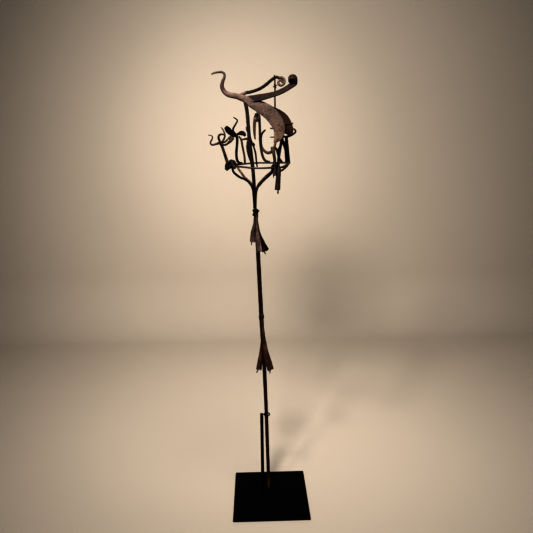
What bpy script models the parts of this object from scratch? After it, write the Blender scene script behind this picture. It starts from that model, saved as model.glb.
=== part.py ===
"""Ceremonial healing staff of forged iron, standing on its black steel display stand.

Metres, +Z up, +X to the right in the front view and +Y away from the front. The origin is the centre
of the stand plate's underside. The staff is hand forged, so each bar is a loft through a few stations
that give its centre, width and thickness. Stations of free forms are in millimetres from what carries
them: the hoop under a ring bird, the top of the shaft under the crowning bird.
"""
import math

import bmesh
import bpy
import numpy as np
from mathutils import Matrix, Vector

MM = 0.001
GAP = 0.0003

# Stand
PLATE_SIDE = 0.305
PLATE_THICKNESS = 0.008
PLATE_EDGE = 0.0008
BAR_SIDE = 0.0127
BAR_LENGTH = 0.345
BAR_TO_SHAFT = 0.0062
RING_WIRE = 0.004
RING_PLAY = 0.0055
RING_DROP = 0.0025
RING_TILT = math.radians(4.0)
STAFF_SETBACK = 0.045

# Shaft, from its foot on the plate to the crowning bird
SHAFT_FOOT_DIAMETER = 0.0095
SHAFT_LOWER_DIAMETER = 0.0132
SHAFT_DIAMETER = 0.0155
SHAFT_FORK_DIAMETER = 0.0076
SHAFT_TOP_DIAMETER = 0.0098
LOWER_BELLS_HEIGHT = 0.770
UPPER_BELLS_HEIGHT = 1.192
FORK_RISE = 0.070
HOOP_RISE = 0.114
TOP_RISE = 0.222
FORK_HEIGHT = UPPER_BELLS_HEIGHT + FORK_RISE
HOOP_HEIGHT = FORK_HEIGHT + HOOP_RISE
TOP_HEIGHT = HOOP_HEIGHT + TOP_RISE

# Hoop
HOOP_CENTRE_X = -0.031
HOOP_SETBACK = 0.050
HOOP_RADIUS = 0.114
HOOP_CORNER = 0.002
HOOP_STRIP_WIDTH = 0.012
HOOP_STRIP_THICKNESS = 0.0046

# Arms and bells
ARM_DIAMETER = 0.0058
BELL_WALL = 0.0016
BINDING_WALL = 0.0024

SIDEWAYS = Vector((1.0, 0.0, 0.0))
AWAY = Vector((0.0, 1.0, 0.0))
UP = Vector((0.0, 0.0, 1.0))

for old in list(bpy.data.objects):
    bpy.data.objects.remove(old, do_unlink=True)
staff = bpy.data.collections.new("Ceremonial healing staff")
helpers = bpy.data.collections.new("Cutters and joined forms")
bpy.context.scene.collection.children.link(staff)
bpy.context.scene.collection.children.link(helpers)


def metal(name, colour, roughness):
    """A metallic material of one colour."""
    material = bpy.data.materials.new(name)
    material.use_nodes = True
    shader = material.node_tree.nodes["Principled BSDF"]
    shader.inputs["Base Color"].default_value = (*colour, 1.0)
    shader.inputs["Metallic"].default_value = 0.75
    shader.inputs["Roughness"].default_value = roughness
    material.diffuse_color = (*colour, 1.0)
    return material


def place(piece, collection):
    """Puts an object in one collection only."""
    for held in list(piece.users_collection):
        held.objects.unlink(piece)
    collection.objects.link(piece)
    return piece


def helper(piece):
    """Marks an object as a cutter or as a form that another object takes in."""
    piece.hide_render = True
    piece.display_type = "WIRE"
    return place(piece, helpers)


def part(piece, name, colour=(0.045, 0.034, 0.028), roughness=0.62):
    """Names a finished sub-part and gives it its own material."""
    piece.name = name
    piece.data.name = name
    piece.data.materials.clear()
    piece.data.materials.append(metal(name, colour, roughness))
    piece.data.shade_smooth()
    piece.data.set_sharp_from_angle(angle=math.radians(50.0))
    return place(piece, staff)


def boolean(piece, other, operation):
    """Adds one exact Boolean to a piece."""
    modifier = piece.modifiers.new(operation.title() + " " + other.name, "BOOLEAN")
    modifier.operation = operation
    modifier.solver = "EXACT"
    modifier.object = other


def fuse(piece, others):
    """Welds other forms into a piece, as forging does."""
    for other in others:
        boolean(piece, helper(other), "UNION")
    return piece


def fit(piece, cutters):
    """Cuts a piece back from its neighbours, whose cutters already hold the gap."""
    for cutter in cutters:
        boolean(piece, cutter, "DIFFERENCE")
    return piece


def smooth(stations, steps):
    """Rows on a Catmull-Rom curve through the stations, with steps spans between two of them."""
    rows = np.array(stations, float)
    rows = np.vstack((2 * rows[0] - rows[1], rows, 2 * rows[-1] - rows[-2]))
    found = []
    for before, start, end, after in zip(rows, rows[1:], rows[2:], rows[3:]):
        for step in range(steps):
            t = step / steps
            found.append(
                0.5 * (2 * start + (end - before) * t + (2 * before - 5 * start + 4 * end - after) * t**2
                       + (3 * start - before - 3 * end + after) * t**3)
            )
    found.append(rows[-2])
    return np.array(found)


def loft(name, rows, across=None, face=None, sides=6, grow=0.0, camber=0.0, closed=False):
    """A bar through rows of centre, width and thickness in metres.

    across gives the direction of the width, or face the direction that the broad side looks in.
    camber dishes a blade by that share of its width.
    """
    points = [Vector(row[:3]) for row in rows]
    count = len(points)
    mesh = bmesh.new()
    rings = []
    reach = 1.0 / math.cos(math.pi / sides)
    for index, (point, row) in enumerate(zip(points, rows)):
        ahead = points[(index + 1) % count] if closed else points[min(index + 1, count - 1)]
        behind = points[index - 1] if closed else points[max(index - 1, 0)]
        along = (ahead - behind).normalized()
        if face is not None:
            wide = face.cross(along).normalized()
        else:
            aim = across[index] if isinstance(across, list) else across
            wide = (aim - aim.dot(along) * along).normalized()
        thin = along.cross(wide)
        end = 0.0 if closed else (grow if index == count - 1 else -grow if index == 0 else 0.0)
        ring = []
        for side in range(sides):
            turn = 2.0 * math.pi * (side + 0.5) / sides
            a = math.cos(turn) * reach
            b = math.sin(turn) * reach
            bow = camber * row[3] * (1.0 - a * a)
            ring.append(mesh.verts.new(
                point + along * end + wide * (a * (row[3] / 2.0 + grow))
                + thin * (b * (row[4] / 2.0 + grow) + bow)
            ))
        rings.append(ring)
    pairs = list(zip(rings, rings[1:]))
    if closed:
        pairs.append((rings[-1], rings[0]))
    for low, high in pairs:
        for side in range(sides):
            after = (side + 1) % sides
            mesh.faces.new((low[side], low[after], high[after], high[side]))
    if not closed:
        mesh.faces.new(rings[0][::-1])
        mesh.faces.new(rings[-1])
    bmesh.ops.triangulate(mesh, faces=mesh.faces[:])
    bmesh.ops.recalc_face_normals(mesh, faces=mesh.faces[:])
    data = bpy.data.meshes.new(name)
    mesh.to_mesh(data)
    mesh.free()
    made = bpy.data.objects.new(name, data)
    staff.objects.link(made)
    return made


def free_form(name, origin, stations, steps=2, **shape):
    """A loft through stations in millimetres from an origin."""
    rows = smooth(stations, steps) * MM
    rows[:, :3] += np.array(origin)
    return loft(name, rows, **shape)


# The shaft's own line: height, sideways place, diameter
FOOT_HEIGHT = PLATE_THICKNESS + GAP
SHAFT_STATIONS = (
    (FOOT_HEIGHT, -0.006, SHAFT_FOOT_DIAMETER),
    (0.060, -0.007, SHAFT_LOWER_DIAMETER - 0.0012),
    (0.214, -0.010, SHAFT_LOWER_DIAMETER),
    (0.379, -0.0132, SHAFT_LOWER_DIAMETER + 0.0004),
    (0.560, -0.0185, SHAFT_DIAMETER - 0.0010),
    (LOWER_BELLS_HEIGHT, -0.027, SHAFT_DIAMETER + 0.0004),
    (UPPER_BELLS_HEIGHT - 0.184, -0.0355, SHAFT_DIAMETER - 0.0006),
    (UPPER_BELLS_HEIGHT - 0.055, -0.0405, SHAFT_DIAMETER - 0.0020),
    (UPPER_BELLS_HEIGHT + 0.012, -0.0430, SHAFT_FORK_DIAMETER + 0.0006),
    (FORK_HEIGHT, -0.0452, SHAFT_FORK_DIAMETER),
    (FORK_HEIGHT + HOOP_RISE * 26 / 57, -0.0476, SHAFT_TOP_DIAMETER - 0.0010),
    (HOOP_HEIGHT, -0.0525, SHAFT_TOP_DIAMETER - 0.0004),
    (HOOP_HEIGHT + TOP_RISE * 25 / 111, -0.0580, SHAFT_TOP_DIAMETER),
    (HOOP_HEIGHT + TOP_RISE * 51 / 111, -0.0627, SHAFT_TOP_DIAMETER - 0.0004),
    (HOOP_HEIGHT + TOP_RISE * 92 / 111, -0.0678, SHAFT_TOP_DIAMETER - 0.0006),
    (TOP_HEIGHT, -0.0745, SHAFT_TOP_DIAMETER),
)


def shaft_at(height):
    """Centre of the shaft at a height."""
    heights = [row[0] for row in SHAFT_STATIONS]
    places = [row[1] for row in SHAFT_STATIONS]
    return Vector((float(np.interp(height, heights, places)), STAFF_SETBACK, height))


def shaft_radius(height):
    """Half the shaft's diameter at a height."""
    heights = [row[0] for row in SHAFT_STATIONS]
    diameters = [row[2] for row in SHAFT_STATIONS]
    return float(np.interp(height, heights, diameters)) / 2.0


def shaft_form(name, grow=0.0):
    """The shaft as a straight-sided loft between its stations."""
    rows = [(place_x, STAFF_SETBACK, height, wide, wide) for height, place_x, wide in SHAFT_STATIONS]
    return loft(name, rows, across=SIDEWAYS, sides=8, grow=grow)


# How far the hoop lies above its mean height, every 45 degrees from the right and round the back
HOOP_LIFT = (0.003, 0.003, 0.004, -0.001, 0.006, -0.009, -0.016, -0.014)
HOOP_STEPS = 40
HOOP_TWIST_AT = 148.0
HOOP_TWIST = 58.0
HOOP_TWIST_SPREAD = 13.0


def hoop_at(angle):
    """Centre of the hoop's strip at an angle in degrees."""
    angle = angle % 360.0
    index = int(angle // 45.0)
    share = angle / 45.0 - index
    share = share * share * (3.0 - 2.0 * share)
    lift = HOOP_LIFT[index] + (HOOP_LIFT[(index + 1) % 8] - HOOP_LIFT[index]) * share
    off_corner = min(angle, 360.0 - angle)
    radius = HOOP_RADIUS + HOOP_CORNER * max(0.0, 1.0 - off_corner / 16.0)
    turn = math.radians(angle)
    return Vector((
        HOOP_CENTRE_X + radius * math.cos(turn), HOOP_SETBACK + radius * math.sin(turn), HOOP_HEIGHT + lift
    ))


def hoop_form(name, grow=0.0):
    """The hoop's strip, lying flat but for one crooked stretch at the back left."""
    rows = []
    across = []
    for step in range(HOOP_STEPS):
        angle = 360.0 * step / HOOP_STEPS
        turn = math.radians(angle)
        roll = math.radians(HOOP_TWIST * math.exp(-((angle - HOOP_TWIST_AT) / HOOP_TWIST_SPREAD) ** 2))
        outward = Vector((math.cos(turn), math.sin(turn), 0.0))
        across.append(outward * math.cos(roll) + UP * math.sin(roll))
        rows.append((*hoop_at(angle), HOOP_STRIP_WIDTH, HOOP_STRIP_THICKNESS))
    return loft(name, rows, across=across, sides=4, grow=grow, closed=True)


shaft_cutter = helper(shaft_form("Shaft cutter", GAP))
hoop_cutter = helper(hoop_form("Hoop cutter", GAP))


def block(name, size, centre):
    """A square-edged plate or bar with its edges just broken."""
    bpy.ops.mesh.primitive_cube_add(size=1.0, location=centre)
    made = bpy.context.object
    made.name = name
    made.data.transform(Matrix.Diagonal((*size, 1.0)))
    edge = made.modifiers.new("Edge", "BEVEL")
    edge.width = PLATE_EDGE
    edge.segments = 1
    return made


def stand():
    """Plate, upright bar, and the ring that steadies the shaft."""
    black = (0.012, 0.012, 0.013)
    plate = block("Plate", (PLATE_SIDE, PLATE_SIDE, PLATE_THICKNESS), (0.0, 0.0, PLATE_THICKNESS / 2.0))
    part(plate, "stand_plate", black, 0.45)

    ring_height = FOOT_HEIGHT + BAR_LENGTH - RING_DROP
    shaft_side = shaft_at(ring_height).x - shaft_radius(ring_height)
    bar_x = shaft_side - BAR_TO_SHAFT - BAR_SIDE / 2.0
    bar_middle = (bar_x, STAFF_SETBACK, FOOT_HEIGHT + BAR_LENGTH / 2.0)
    bar = block("Bar", (BAR_SIDE, BAR_SIDE, BAR_LENGTH), bar_middle)
    part(bar, "stand_bar", black, 0.45)

    bore = shaft_radius(ring_height) + RING_PLAY / 2.0
    middle = shaft_at(ring_height) + SIDEWAYS * (RING_PLAY / 2.0 - 2.0 * GAP)
    bpy.ops.mesh.primitive_torus_add(
        location=middle, rotation=(RING_TILT, 0.0, 0.0), major_radius=bore + RING_WIRE / 2.0,
        minor_radius=RING_WIRE / 2.0, major_segments=16, minor_segments=5
    )
    ring = bpy.context.object
    link_end = Vector((bar_x + BAR_SIDE / 2.0 + GAP, STAFF_SETBACK, ring_height))
    link_start = middle - SIDEWAYS * (bore + RING_WIRE * 0.6)
    link = loft("Link", [(*link_end, RING_WIRE, RING_WIRE), (*link_start, RING_WIRE, RING_WIRE)], across=AWAY)
    part(fuse(ring, [link]), "stand_ring", black, 0.45)


# Arms by the way they point: hoop angle, signs of their quarter of the bundle, end diameter as a share of
# the bundle's, and the stations between bundle and hoop from the fork, for a hoop 114 mm above it
ARMS = {
    "arm_front_left": (214.0, -1, -1, 1.05, (
        (-6, -6, 15), (-10, -7, 29), (-17, -12, 41), (-26, -19, 51), (-38, -29, 59), (-54, -39, 66), (-75, -54, 84)
    )),
    "arm_back_left": (137.0, -1, 1, 1.25, (
        (-6, 7, 18), (-8, 10, 33), (-16, 17, 45), (-28, 28, 55), (-40, 42, 66), (-50, 57, 80), (-60, 72, 93)
    )),
    "arm_front_right": (300.0, 1, -1, 1.80, (
        (7, -7, 16), (11, -9, 28), (18, -16, 38), (31, -31, 53), (47, -53, 68), (62, -77, 83)
    )),
    "arm_back_right": (1.0, 1, 1, 1.05, (
        (7, 7, 20), (14, 9, 36), (28, 9, 52), (51, 8, 74), (74, 7, 83), (101, 7, 87), (120, 7, 101)
    )),
}
ARM_BELOW_HOOP = 0.0034
ARM_FOOT = 0.0168


def arm_rows(name):
    """Rows of an arm from under the upper binding to under the hoop's strip."""
    hoop_angle, side, depth, thicker, between = ARMS[name]
    fork = np.array(shaft_at(FORK_HEIGHT)) / MM
    thick = ARM_DIAMETER / MM
    foot = (ARM_FOOT - FORK_RISE) / MM
    rise = HOOP_RISE / MM / 114
    stations = [
        (side * 3.7, depth * 3.7, foot, thick * 0.6, thick * 0.6),
        (side * 4.0, depth * 4.0, -25, thick * 0.8, thick * 0.8),
        (side * 4.9, depth * 4.9, 0, thick, thick),
    ]
    for index, point in enumerate(between):
        now = thick * (1.0 + (thicker - 1.0) * min(1.0, (index + 1) / 3.0))
        stations.append((point[0], point[1], point[2] * rise, now, now))
    end = (np.array(hoop_at(hoop_angle)) - (0.0, 0.0, ARM_BELOW_HOOP)) / MM - fork
    stations.append((*end, thick * thicker, thick * thicker))
    rows = smooth(stations, 2) * MM
    rows[:, :3] += fork * MM
    return rows


def arms():
    """Four rods that leave the shaft at the fork and end under the hoop."""
    for name in ARMS:
        arm = loft(name, arm_rows(name), across=Vector((0.3, 1.0, 0.1)))
        part(fit(arm, (shaft_cutter, hoop_cutter)), name)


def ball(name, centre, diameter, squash=1.0):
    """A low rounded lump, such as a rivet head or a clapper's end."""
    bpy.ops.mesh.primitive_uv_sphere_add(segments=8, ring_count=5, radius=diameter / 2.0, location=centre)
    made = bpy.context.object
    made.name = name
    made.data.transform(Matrix.Diagonal((1.0, 1.0, squash, 1.0)))
    return made


def shaft():
    """The shaft, with the leaf that is drawn out of it above the hoop."""
    bar = shaft_form("Shaft")
    leaf = free_form("Leaf", shaft_at(HOOP_HEIGHT + 0.010), (
        (0, -1, -14, 5, 4), (-3, -3, 2, 8, 3.6), (-9, -4, 21, 11, 3.4), (-13, -4, 39, 11.5, 3.2),
        (-17, -4, 56, 8, 2.8), (-19, -4, 68, 3, 2.4)
    ), steps=1, face=AWAY)
    part(fuse(bar, [leaf]), "shaft")


def hoop():
    """The hoop, with the rivet that closes it beside the corner."""
    band = hoop_form("Hoop")
    rivet = ball("Rivet", hoop_at(352.0), 0.0065, 1.1)
    part(fuse(band, [rivet]), "hoop")


def scroll(centre, start, turn, radii, up, size, steps):
    """Stations of a scroll in the plane of +X and up, from an outer to an inner radius."""
    found = []
    for step in range(steps + 1):
        share = step / steps
        angle = math.radians(start + turn * share)
        radius = radii[0] + (radii[1] - radii[0]) * share
        point = Vector(centre) + radius * (math.cos(angle) * SIDEWAYS + math.sin(angle) * up)
        wide = size[0] * (1.0 - 0.45 * share)
        found.append((*point, wide, size[1] * (1.0 - 0.35 * share)))
    return found


NEAR_WING_ACROSS = Vector((0.0, 0.64, 0.77))
NEAR_WING_UP = Vector((0.0, -0.77, 0.64))

# Crowning bird, in millimetres from the shaft's top: neck and body from the bill
BIRD_NECK = (
    (-120, 0, 96, 2.4, 2.4), (-111, 0, 101, 3.4, 3.2), (-94, 0, 105, 4.2, 4), (-81, 0, 105, 5.4, 5),
    (-73, 0, 97, 6.2, 6), (-74, 0, 84, 7.6, 7), (-80, 0, 70, 10, 8.5), (-83, 0, 54, 12.5, 10),
    (-77, 0, 39, 14.5, 11.5), (-66, 0, 29, 16, 12.5), (-51, 0, 24, 17.5, 13.5), (-29, 0, 20, 18.5, 14),
    (-6, 0, 12, 22, 14), (16, 0, 2, 26, 9)
)
BIRD_NEAR_TAIL = (
    (2, -1, 9, 22, 8), (28, -4, -6, 34, 4.5), (60, -9, -22, 43, 3), (88, -17, -41, 49, 2.8),
    (106, -22, -62, 48, 2.8), (118, -27, -82, 46, 2.6), (123, -30, -105, 40, 2.6), (118, -31, -128, 31, 2.4),
    (103, -31, -147, 5, 2.2)
)
BIRD_FAR_TAIL = (
    (6, 2, 8, 20, 8), (49, 13, -14, 27, 3.4), (86, 23, -31, 33, 2.8), (115, 31, -46, 38, 2.8),
    (137, 37, -62, 42, 2.6), (152, 41, -82, 40, 2.6), (161, 45, -109, 31, 2.4)
)
BIRD_FAR_WING = (
    (-28, 2, 20, 12, 7), (0, 8, 32, 18, 6), (19, 13, 36, 20, 5), (43, 22, 44, 20, 5), (63, 30, 54, 20, 5.2),
    (82, 38, 68, 20, 5.4), (101, 45, 84, 19, 5.2), (116, 49, 93, 18, 4.8)
)
BIRD_NEAR_WING = (
    (2, 0, 12, 14, 7), (28, -9, 12, 20, 5), (48, -15, 13, 22, 4), (90, -31, 18, 22, 4), (125, -43, 27, 22, 4),
    (150, -52, 38, 22, 4.2)
)


def crown():
    """The bird on top: neck and body, two drooping tail blades, two scrolled wings."""
    top = shaft_at(TOP_HEIGHT)
    body = free_form("Crowning bird", top, BIRD_NECK, face=AWAY, sides=8)
    near_tail = free_form("Near tail", top, BIRD_NEAR_TAIL, face=AWAY, camber=-0.05)
    far_tail = free_form("Far tail", top, BIRD_FAR_TAIL, face=AWAY, camber=0.04)
    far_scroll = scroll((134, 53, 76), 115, -500, (17, 3.6), UP, (18, 4.2), 14)
    far_wing = free_form("Far wing", top, BIRD_FAR_WING + tuple(far_scroll), steps=1, across=AWAY, sides=4)
    near_scroll = scroll((167, -61, 65), -48, 260, (17, 8), NEAR_WING_UP, (23, 4.4), 9)
    near_wing = free_form(
        "Near wing", top, BIRD_NEAR_WING + tuple(near_scroll), steps=1, across=NEAR_WING_ACROSS, sides=4
    )
    fuse(body, [near_tail, far_tail, far_wing, near_wing])
    part(fit(body, (shaft_cutter,)), "crowning_bird", (0.100, 0.070, 0.056), 0.70)


# Ring birds clockwise from the left: the hoop angle, then each stroke in millimetres from the hoop as
# centre, seen width and depth; the first stroke is the stem and neck
RING_BIRDS = (
    (186.0, (
        ((0, 0, 0, 9, 7), (-3, 0, 8, 9, 7), (-12, -1, 38, 8, 6), (-20, -2, 62, 8, 6.5), (-28, -2, 71, 8, 7),
         (-40, -3, 68, 6.5, 6), (-55, -5, 65, 6, 5), (-61, -6, 73, 5, 4.5), (-53, -7, 89, 4, 3.6),
         (-56, -8, 98, 3, 3), (-68, -8, 100, 1.8, 1.8)),
        ((-23, -2, 70, 6, 5), (-30, -8, 88, 6, 4.5), (-28, -12, 98, 5.5, 4), (-17, -14, 102, 5, 4),
         (-7, -12, 98, 4, 3.6), (-9, -8, 87, 2.4, 2.4)),
        ((-22, 1, 72, 5, 4.5), (-12, 6, 85, 5, 4), (-8, 12, 100, 4, 3.4), (-14, 18, 119, 3, 2.6),
         (-22, 22, 129, 1.8, 1.8)),
        ((-24, -2, 68, 6, 5), (-8, -10, 64, 5, 4), (3, -14, 69, 6, 4), (14, -18, 78, 9, 4), (23, -20, 90, 12, 3.4)),
        ((-24, 0, 73, 6, 5), (-9, 8, 75, 4.5, 4), (2, 12, 85, 4.5, 3.6), (13, 14, 93, 3.4, 3)),
    )),
    (130.0, (
        ((12, 10, 3.8, 6, 5), (4, 4.5, 4.4, 6.6, 5.6), (-6, 1, 12, 7, 6), (-10, 0, 31, 6.8, 6), (-9, -1, 55, 6.8, 6),
         (-6, -3, 81, 6.8, 6), (-6, -5, 102, 7.5, 7), (-14, -6, 114, 9, 8), (-20, -3, 124, 6, 5.5),
         (-20, 1, 136, 5, 4.6), (-9, 7, 155, 4.4, 4), (-4, 11, 164, 3.8, 3.6), (-6, 14, 171, 3.2, 3),
         (-19, 18, 180, 1.8, 1.8)),
        ((-10, -6, 108, 8, 6), (-22, -11, 114, 13, 4), (-33, -18, 123, 17, 3.4), (-42, -23, 133, 16, 3),
         (-49, -27, 141, 8, 2.6)),
        ((-10, -6, 110, 7, 6), (0, -8, 115, 7, 5), (10, -10, 119, 11, 4), (19, -12, 118, 11, 3.6),
         (27, -14, 108, 5, 3)),
        ((-13, -8, 112, 8, 6), (-26, -25, 103, 10, 4), (-36, -37, 97, 7, 3)),
    )),
    (118.0, (
        ((3, 0, 0, 5.4, 5), (1, -1, 30, 5.2, 5), (-5, -2, 64, 5.2, 5), (-10, -3, 92, 5, 5), (-19, -4, 106, 3.4, 3.4)),
        ((-11, -4, 93, 4.4, 4.4), (5, -5, 95, 4.4, 4), (18, -4, 100, 4.2, 4), (18, -1, 117, 3.6, 3.4),
         (12, 2, 131, 3, 3), (11, 5, 142, 1.8, 1.8)),
        ((14, -5, 96, 4, 4), (15, -10, 90, 3.6, 3.4), (16, -13, 80, 2.4, 2.4)),
    )),
    (93.0, (
        ((4, -9, -17, 3, 3), (2, -9, -5, 4.2, 4), (1, -9, 4, 4.4, 4), (0, -5, 13, 4.6, 4.4), (-2, -1, 36, 4.8, 4.4),
         (-8, -2, 59, 4.8, 4.6), (-18, -3, 84, 5.6, 5.4), (-22, -1, 99, 4.8, 4.6), (-25, 2, 126, 4, 4),
         (-28, 4, 147, 3.4, 3.4), (-30, 10, 163, 2.8, 2.8), (-30, 21, 168, 1.8, 1.8)),
        ((-13, -3, 68, 4, 4), (-8, -7, 66, 3.6, 3.4), (-7, -9, 72, 3.2, 3), (-13, -8, 78, 2.4, 2.4)),
        ((-17, -4, 80, 5, 5), (-22, -28, 61, 6.5, 3.4), (-25, -46, 48, 5, 2.6)),
    )),
    (69.0, (
        ((7, -5, 3.8, 5, 4.6), (-2, -2, 4.6, 6, 5.4), (-13, 0, 11, 6.6, 6), (-21, -1, 26.5, 6.6, 6),
         (-27, -4, 54.5, 6.6, 6), (-30, -12, 88.5, 6.6, 6), (-31, -28, 125.5, 6.4, 6), (-32, -42, 155.5, 6.2, 5.4),
         (-33, -46, 174.5, 6.2, 5), (-40, -48, 183.5, 6.4, 5), (-47, -50, 174.5, 7, 4.4), (-50, -52, 157.5, 8.5, 3.4),
         (-52, -54, 135.5, 8, 3), (-52, -55, 112, 6, 2.8), (-50, -55, 88, 2, 2)),
        ((-39, -47, 184.5, 9, 4), (-40, -47.5, 175.5, 16, 4), (-41, -48.5, 167, 18, 3.6), (-41, -49.5, 160, 14, 3.2),
         (-41, -50.5, 153, 4, 2.6)),
        ((-36, -47, 181.5, 5, 4.6), (-28, -38, 190.5, 6, 5), (-14, -23, 191.5, 6, 4.6), (2, -12, 181.5, 5.4, 4.4),
         (21, -6, 163.5, 4.4, 4), (27, -4, 144.5, 3.6, 3.4), (21, -3, 132.5, 3, 2.8), (9, -3, 132.5, 1.8, 1.8)),
    )),
    (34.0, (
        ((0, 0, 0, 6.6, 6), (-3, -1, 5, 6.6, 6), (-10, -2, 15, 6.4, 6), (-16, -4, 32, 6.4, 6), (-20, -6, 47, 6.6, 6),
         (-26, -8, 57, 5.4, 5), (-29, -8, 67, 4.8, 4.6), (-25, -6, 77, 4.4, 4), (-15, -2, 88, 4, 3.8),
         (-18, 0, 96, 3.4, 3.4), (-32, 1, 97, 2.8, 2.8), (-46, 2, 97, 1.8, 1.8)),
        ((-19, -6, 46, 5, 5), (-11, -2, 56, 5.6, 4.6), (-4, 2, 68, 5.6, 4), (0, 4, 84, 5, 3.6), (2, 6, 104, 3.8, 3),
         (-3, 8, 117, 1.8, 1.8)),
    )),
    (15.0, (
        ((0, 0, 0, 6, 6), (-1, 0, 23, 6, 6), (-3, -1, 47, 6, 6), (-8, -2, 64, 6.4, 6), (-14, -3, 76, 6.6, 6),
         (-16, -4, 88, 5, 5), (-15, -2, 104, 4, 4), (-19, 0, 119, 3, 3), (-32, 2, 127, 1.8, 1.8)),
        ((-10, -2, 69, 5, 5), (-4, -9, 76, 6.4, 3.6), (3, -17, 82, 5, 3)),
    )),
    (2.0, (
        ((0, 0, 0, 6.6, 6), (-4, 0, 38, 6.6, 6), (-6, 0, 63, 6.6, 6), (-8, 0, 84, 7, 6.4), (-6, 0, 94, 6.6, 6),
         (6, 2, 98, 4.6, 4.4), (18, 3, 104, 4.2, 4), (26, 4, 111, 3.8, 3.6), (26, 5, 118, 3.2, 3.2),
         (21, 5, 122, 2.8, 2.8), (13, 6, 124, 1.8, 1.8)),
        ((-7, 0, 92, 6, 6), (-17, -1, 95, 5, 4), (-27, -2, 95, 4, 3.4), (-37, -4, 98, 2, 2)),
    )),
    (310.0, (
        ((0, 0, 0, 6.4, 6), (-1, 2, 10, 6.4, 6), (1, 15, 32, 6.4, 6), (6, 38, 57, 6.4, 6), (12, 57, 84, 6.6, 6),
         (18, 67, 114, 7, 6.4), (19, 73, 136, 6.6, 6), (26, 77, 149, 4.6, 4.4), (38, 83, 157, 4, 4),
         (50, 87, 155, 3.6, 3.4), (57, 89, 159, 3, 3), (61, 90, 167, 1.8, 1.8)),
        ((18, 69, 132, 6, 6), (12, 76, 129, 5, 4), (2, 84, 120, 4, 3)),
    )),
    (301.0, (
        ((0, 0, 0, 7.2, 6.6), (0, -1, 14, 7.2, 6.6), (0, -1, 27, 7.2, 6.6), (-2, 2, 44, 7.6, 7), (-4, 6, 57, 10, 8),
         (-5, 8, 66, 12.5, 9), (-5, 9, 72, 12, 8.6)),
        ((-6, 8, 60, 7, 6), (-13, 10, 54, 7.4, 5.4), (-25, 14, 52, 7, 5), (-36, 18, 59, 6.2, 4.6),
         (-45, 22, 72, 5, 4.2), (-48, 24, 90, 4.4, 3.8), (-47, 24, 108, 3.6, 3.4), (-42, 22, 121, 2.8, 2.8),
         (-31, 18, 132, 1.6, 1.6)),
        ((-4, 8, 67, 6, 5), (1, 11, 75, 5.6, 4), (6, 18, 91, 5, 3.4), (15, 26, 102, 3, 2.6)),
    )),
)


def ring_bird(name, angle, strokes):
    """A small bird on a stem that is drawn from the same rod as its neck."""
    foot = hoop_at(angle)
    bird = free_form(name, foot, strokes[0], face=AWAY, sides=5)
    fuse(bird, [
        free_form(name + " stroke", foot, stroke, steps=1, face=AWAY, sides=4) for stroke in strokes[1:]
    ])
    part(fit(bird, (hoop_cutter,)), name)


def bell(name, origin, across, stations, hollow_from, clapper):
    """A bell rolled from sheet: a tang that widens to an open mouth, and the clapper inside."""
    shape = {"steps": 1, "across": across, "sides": 8}
    outside = free_form("Bell", origin, stations, **shape)
    walls = 2.0 * BELL_WALL / MM
    lining = [(*row[:3], row[3] - walls, row[4] - walls) for row in stations[hollow_from:]]
    beyond = np.array(lining[-1]) + (np.array(lining[-1]) - np.array(lining[-2])) * 0.25
    inside = free_form("Bell inside", origin, lining + [tuple(beyond)], **shape)
    part(fit(outside, (helper(inside),)), name, (0.060, 0.038, 0.029), 0.72)
    tongue = free_form("Clapper", origin, clapper, steps=1, across=across, sides=5)
    part(tongue, name.replace("bell", "clapper"))
    return helper(free_form(name + " cutter", origin, stations, grow=GAP, **shape))


def binding(name, rows, across, cutters, turns):
    """Wire wound round a bundle, as one ridged sleeve cut to what it holds."""
    points = []
    for step in range(2 * turns + 1):
        share = step / (2.0 * turns)
        row = np.array(rows[0]) + (np.array(rows[1]) - np.array(rows[0])) * share
        row[3:] -= (0.0 if step % 2 else BINDING_WALL * 0.9)
        points.append(tuple(row))
    sleeve = loft(name, points, across=across, sides=8)
    part(fit(sleeve, cutters), name)


def tie_wire():
    """The wire that ties the far wing to the far tail blade, with its knot."""
    top = (SHAFT_STATIONS[-1][1], STAFF_SETBACK, TOP_HEIGHT)
    wire = free_form("Wire", top, (
        (109.5, 35, 99, 2, 2), (110.5, 34, 87, 3, 3), (111.5, 34, 58, 3, 3), (110.5, 32, 32, 2.8, 2.8),
        (110.5, 30, 2, 2.8, 2.8), (110.5, 28, -22, 2.8, 2.8)
    ), steps=1, face=AWAY, sides=5)
    knot = [
        free_form("Knot", top, stations, steps=1, face=AWAY, sides=5) for stations in (
            ((104.5, 34, 55, 2.8, 2.8), (111.5, 34, 59, 6, 5), (121.5, 34, 63, 2.8, 2.8)),
            ((107.5, 34, 66, 2.6, 2.6), (116.5, 34, 52, 2.6, 2.6))
        )
    ]
    part(fuse(wire, knot), "tie_wire")


def along_hoop(angle):
    """Direction of the hoop's strip at an angle in degrees."""
    return Vector((-math.sin(math.radians(angle)), math.cos(math.radians(angle)), 0.0))


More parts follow.
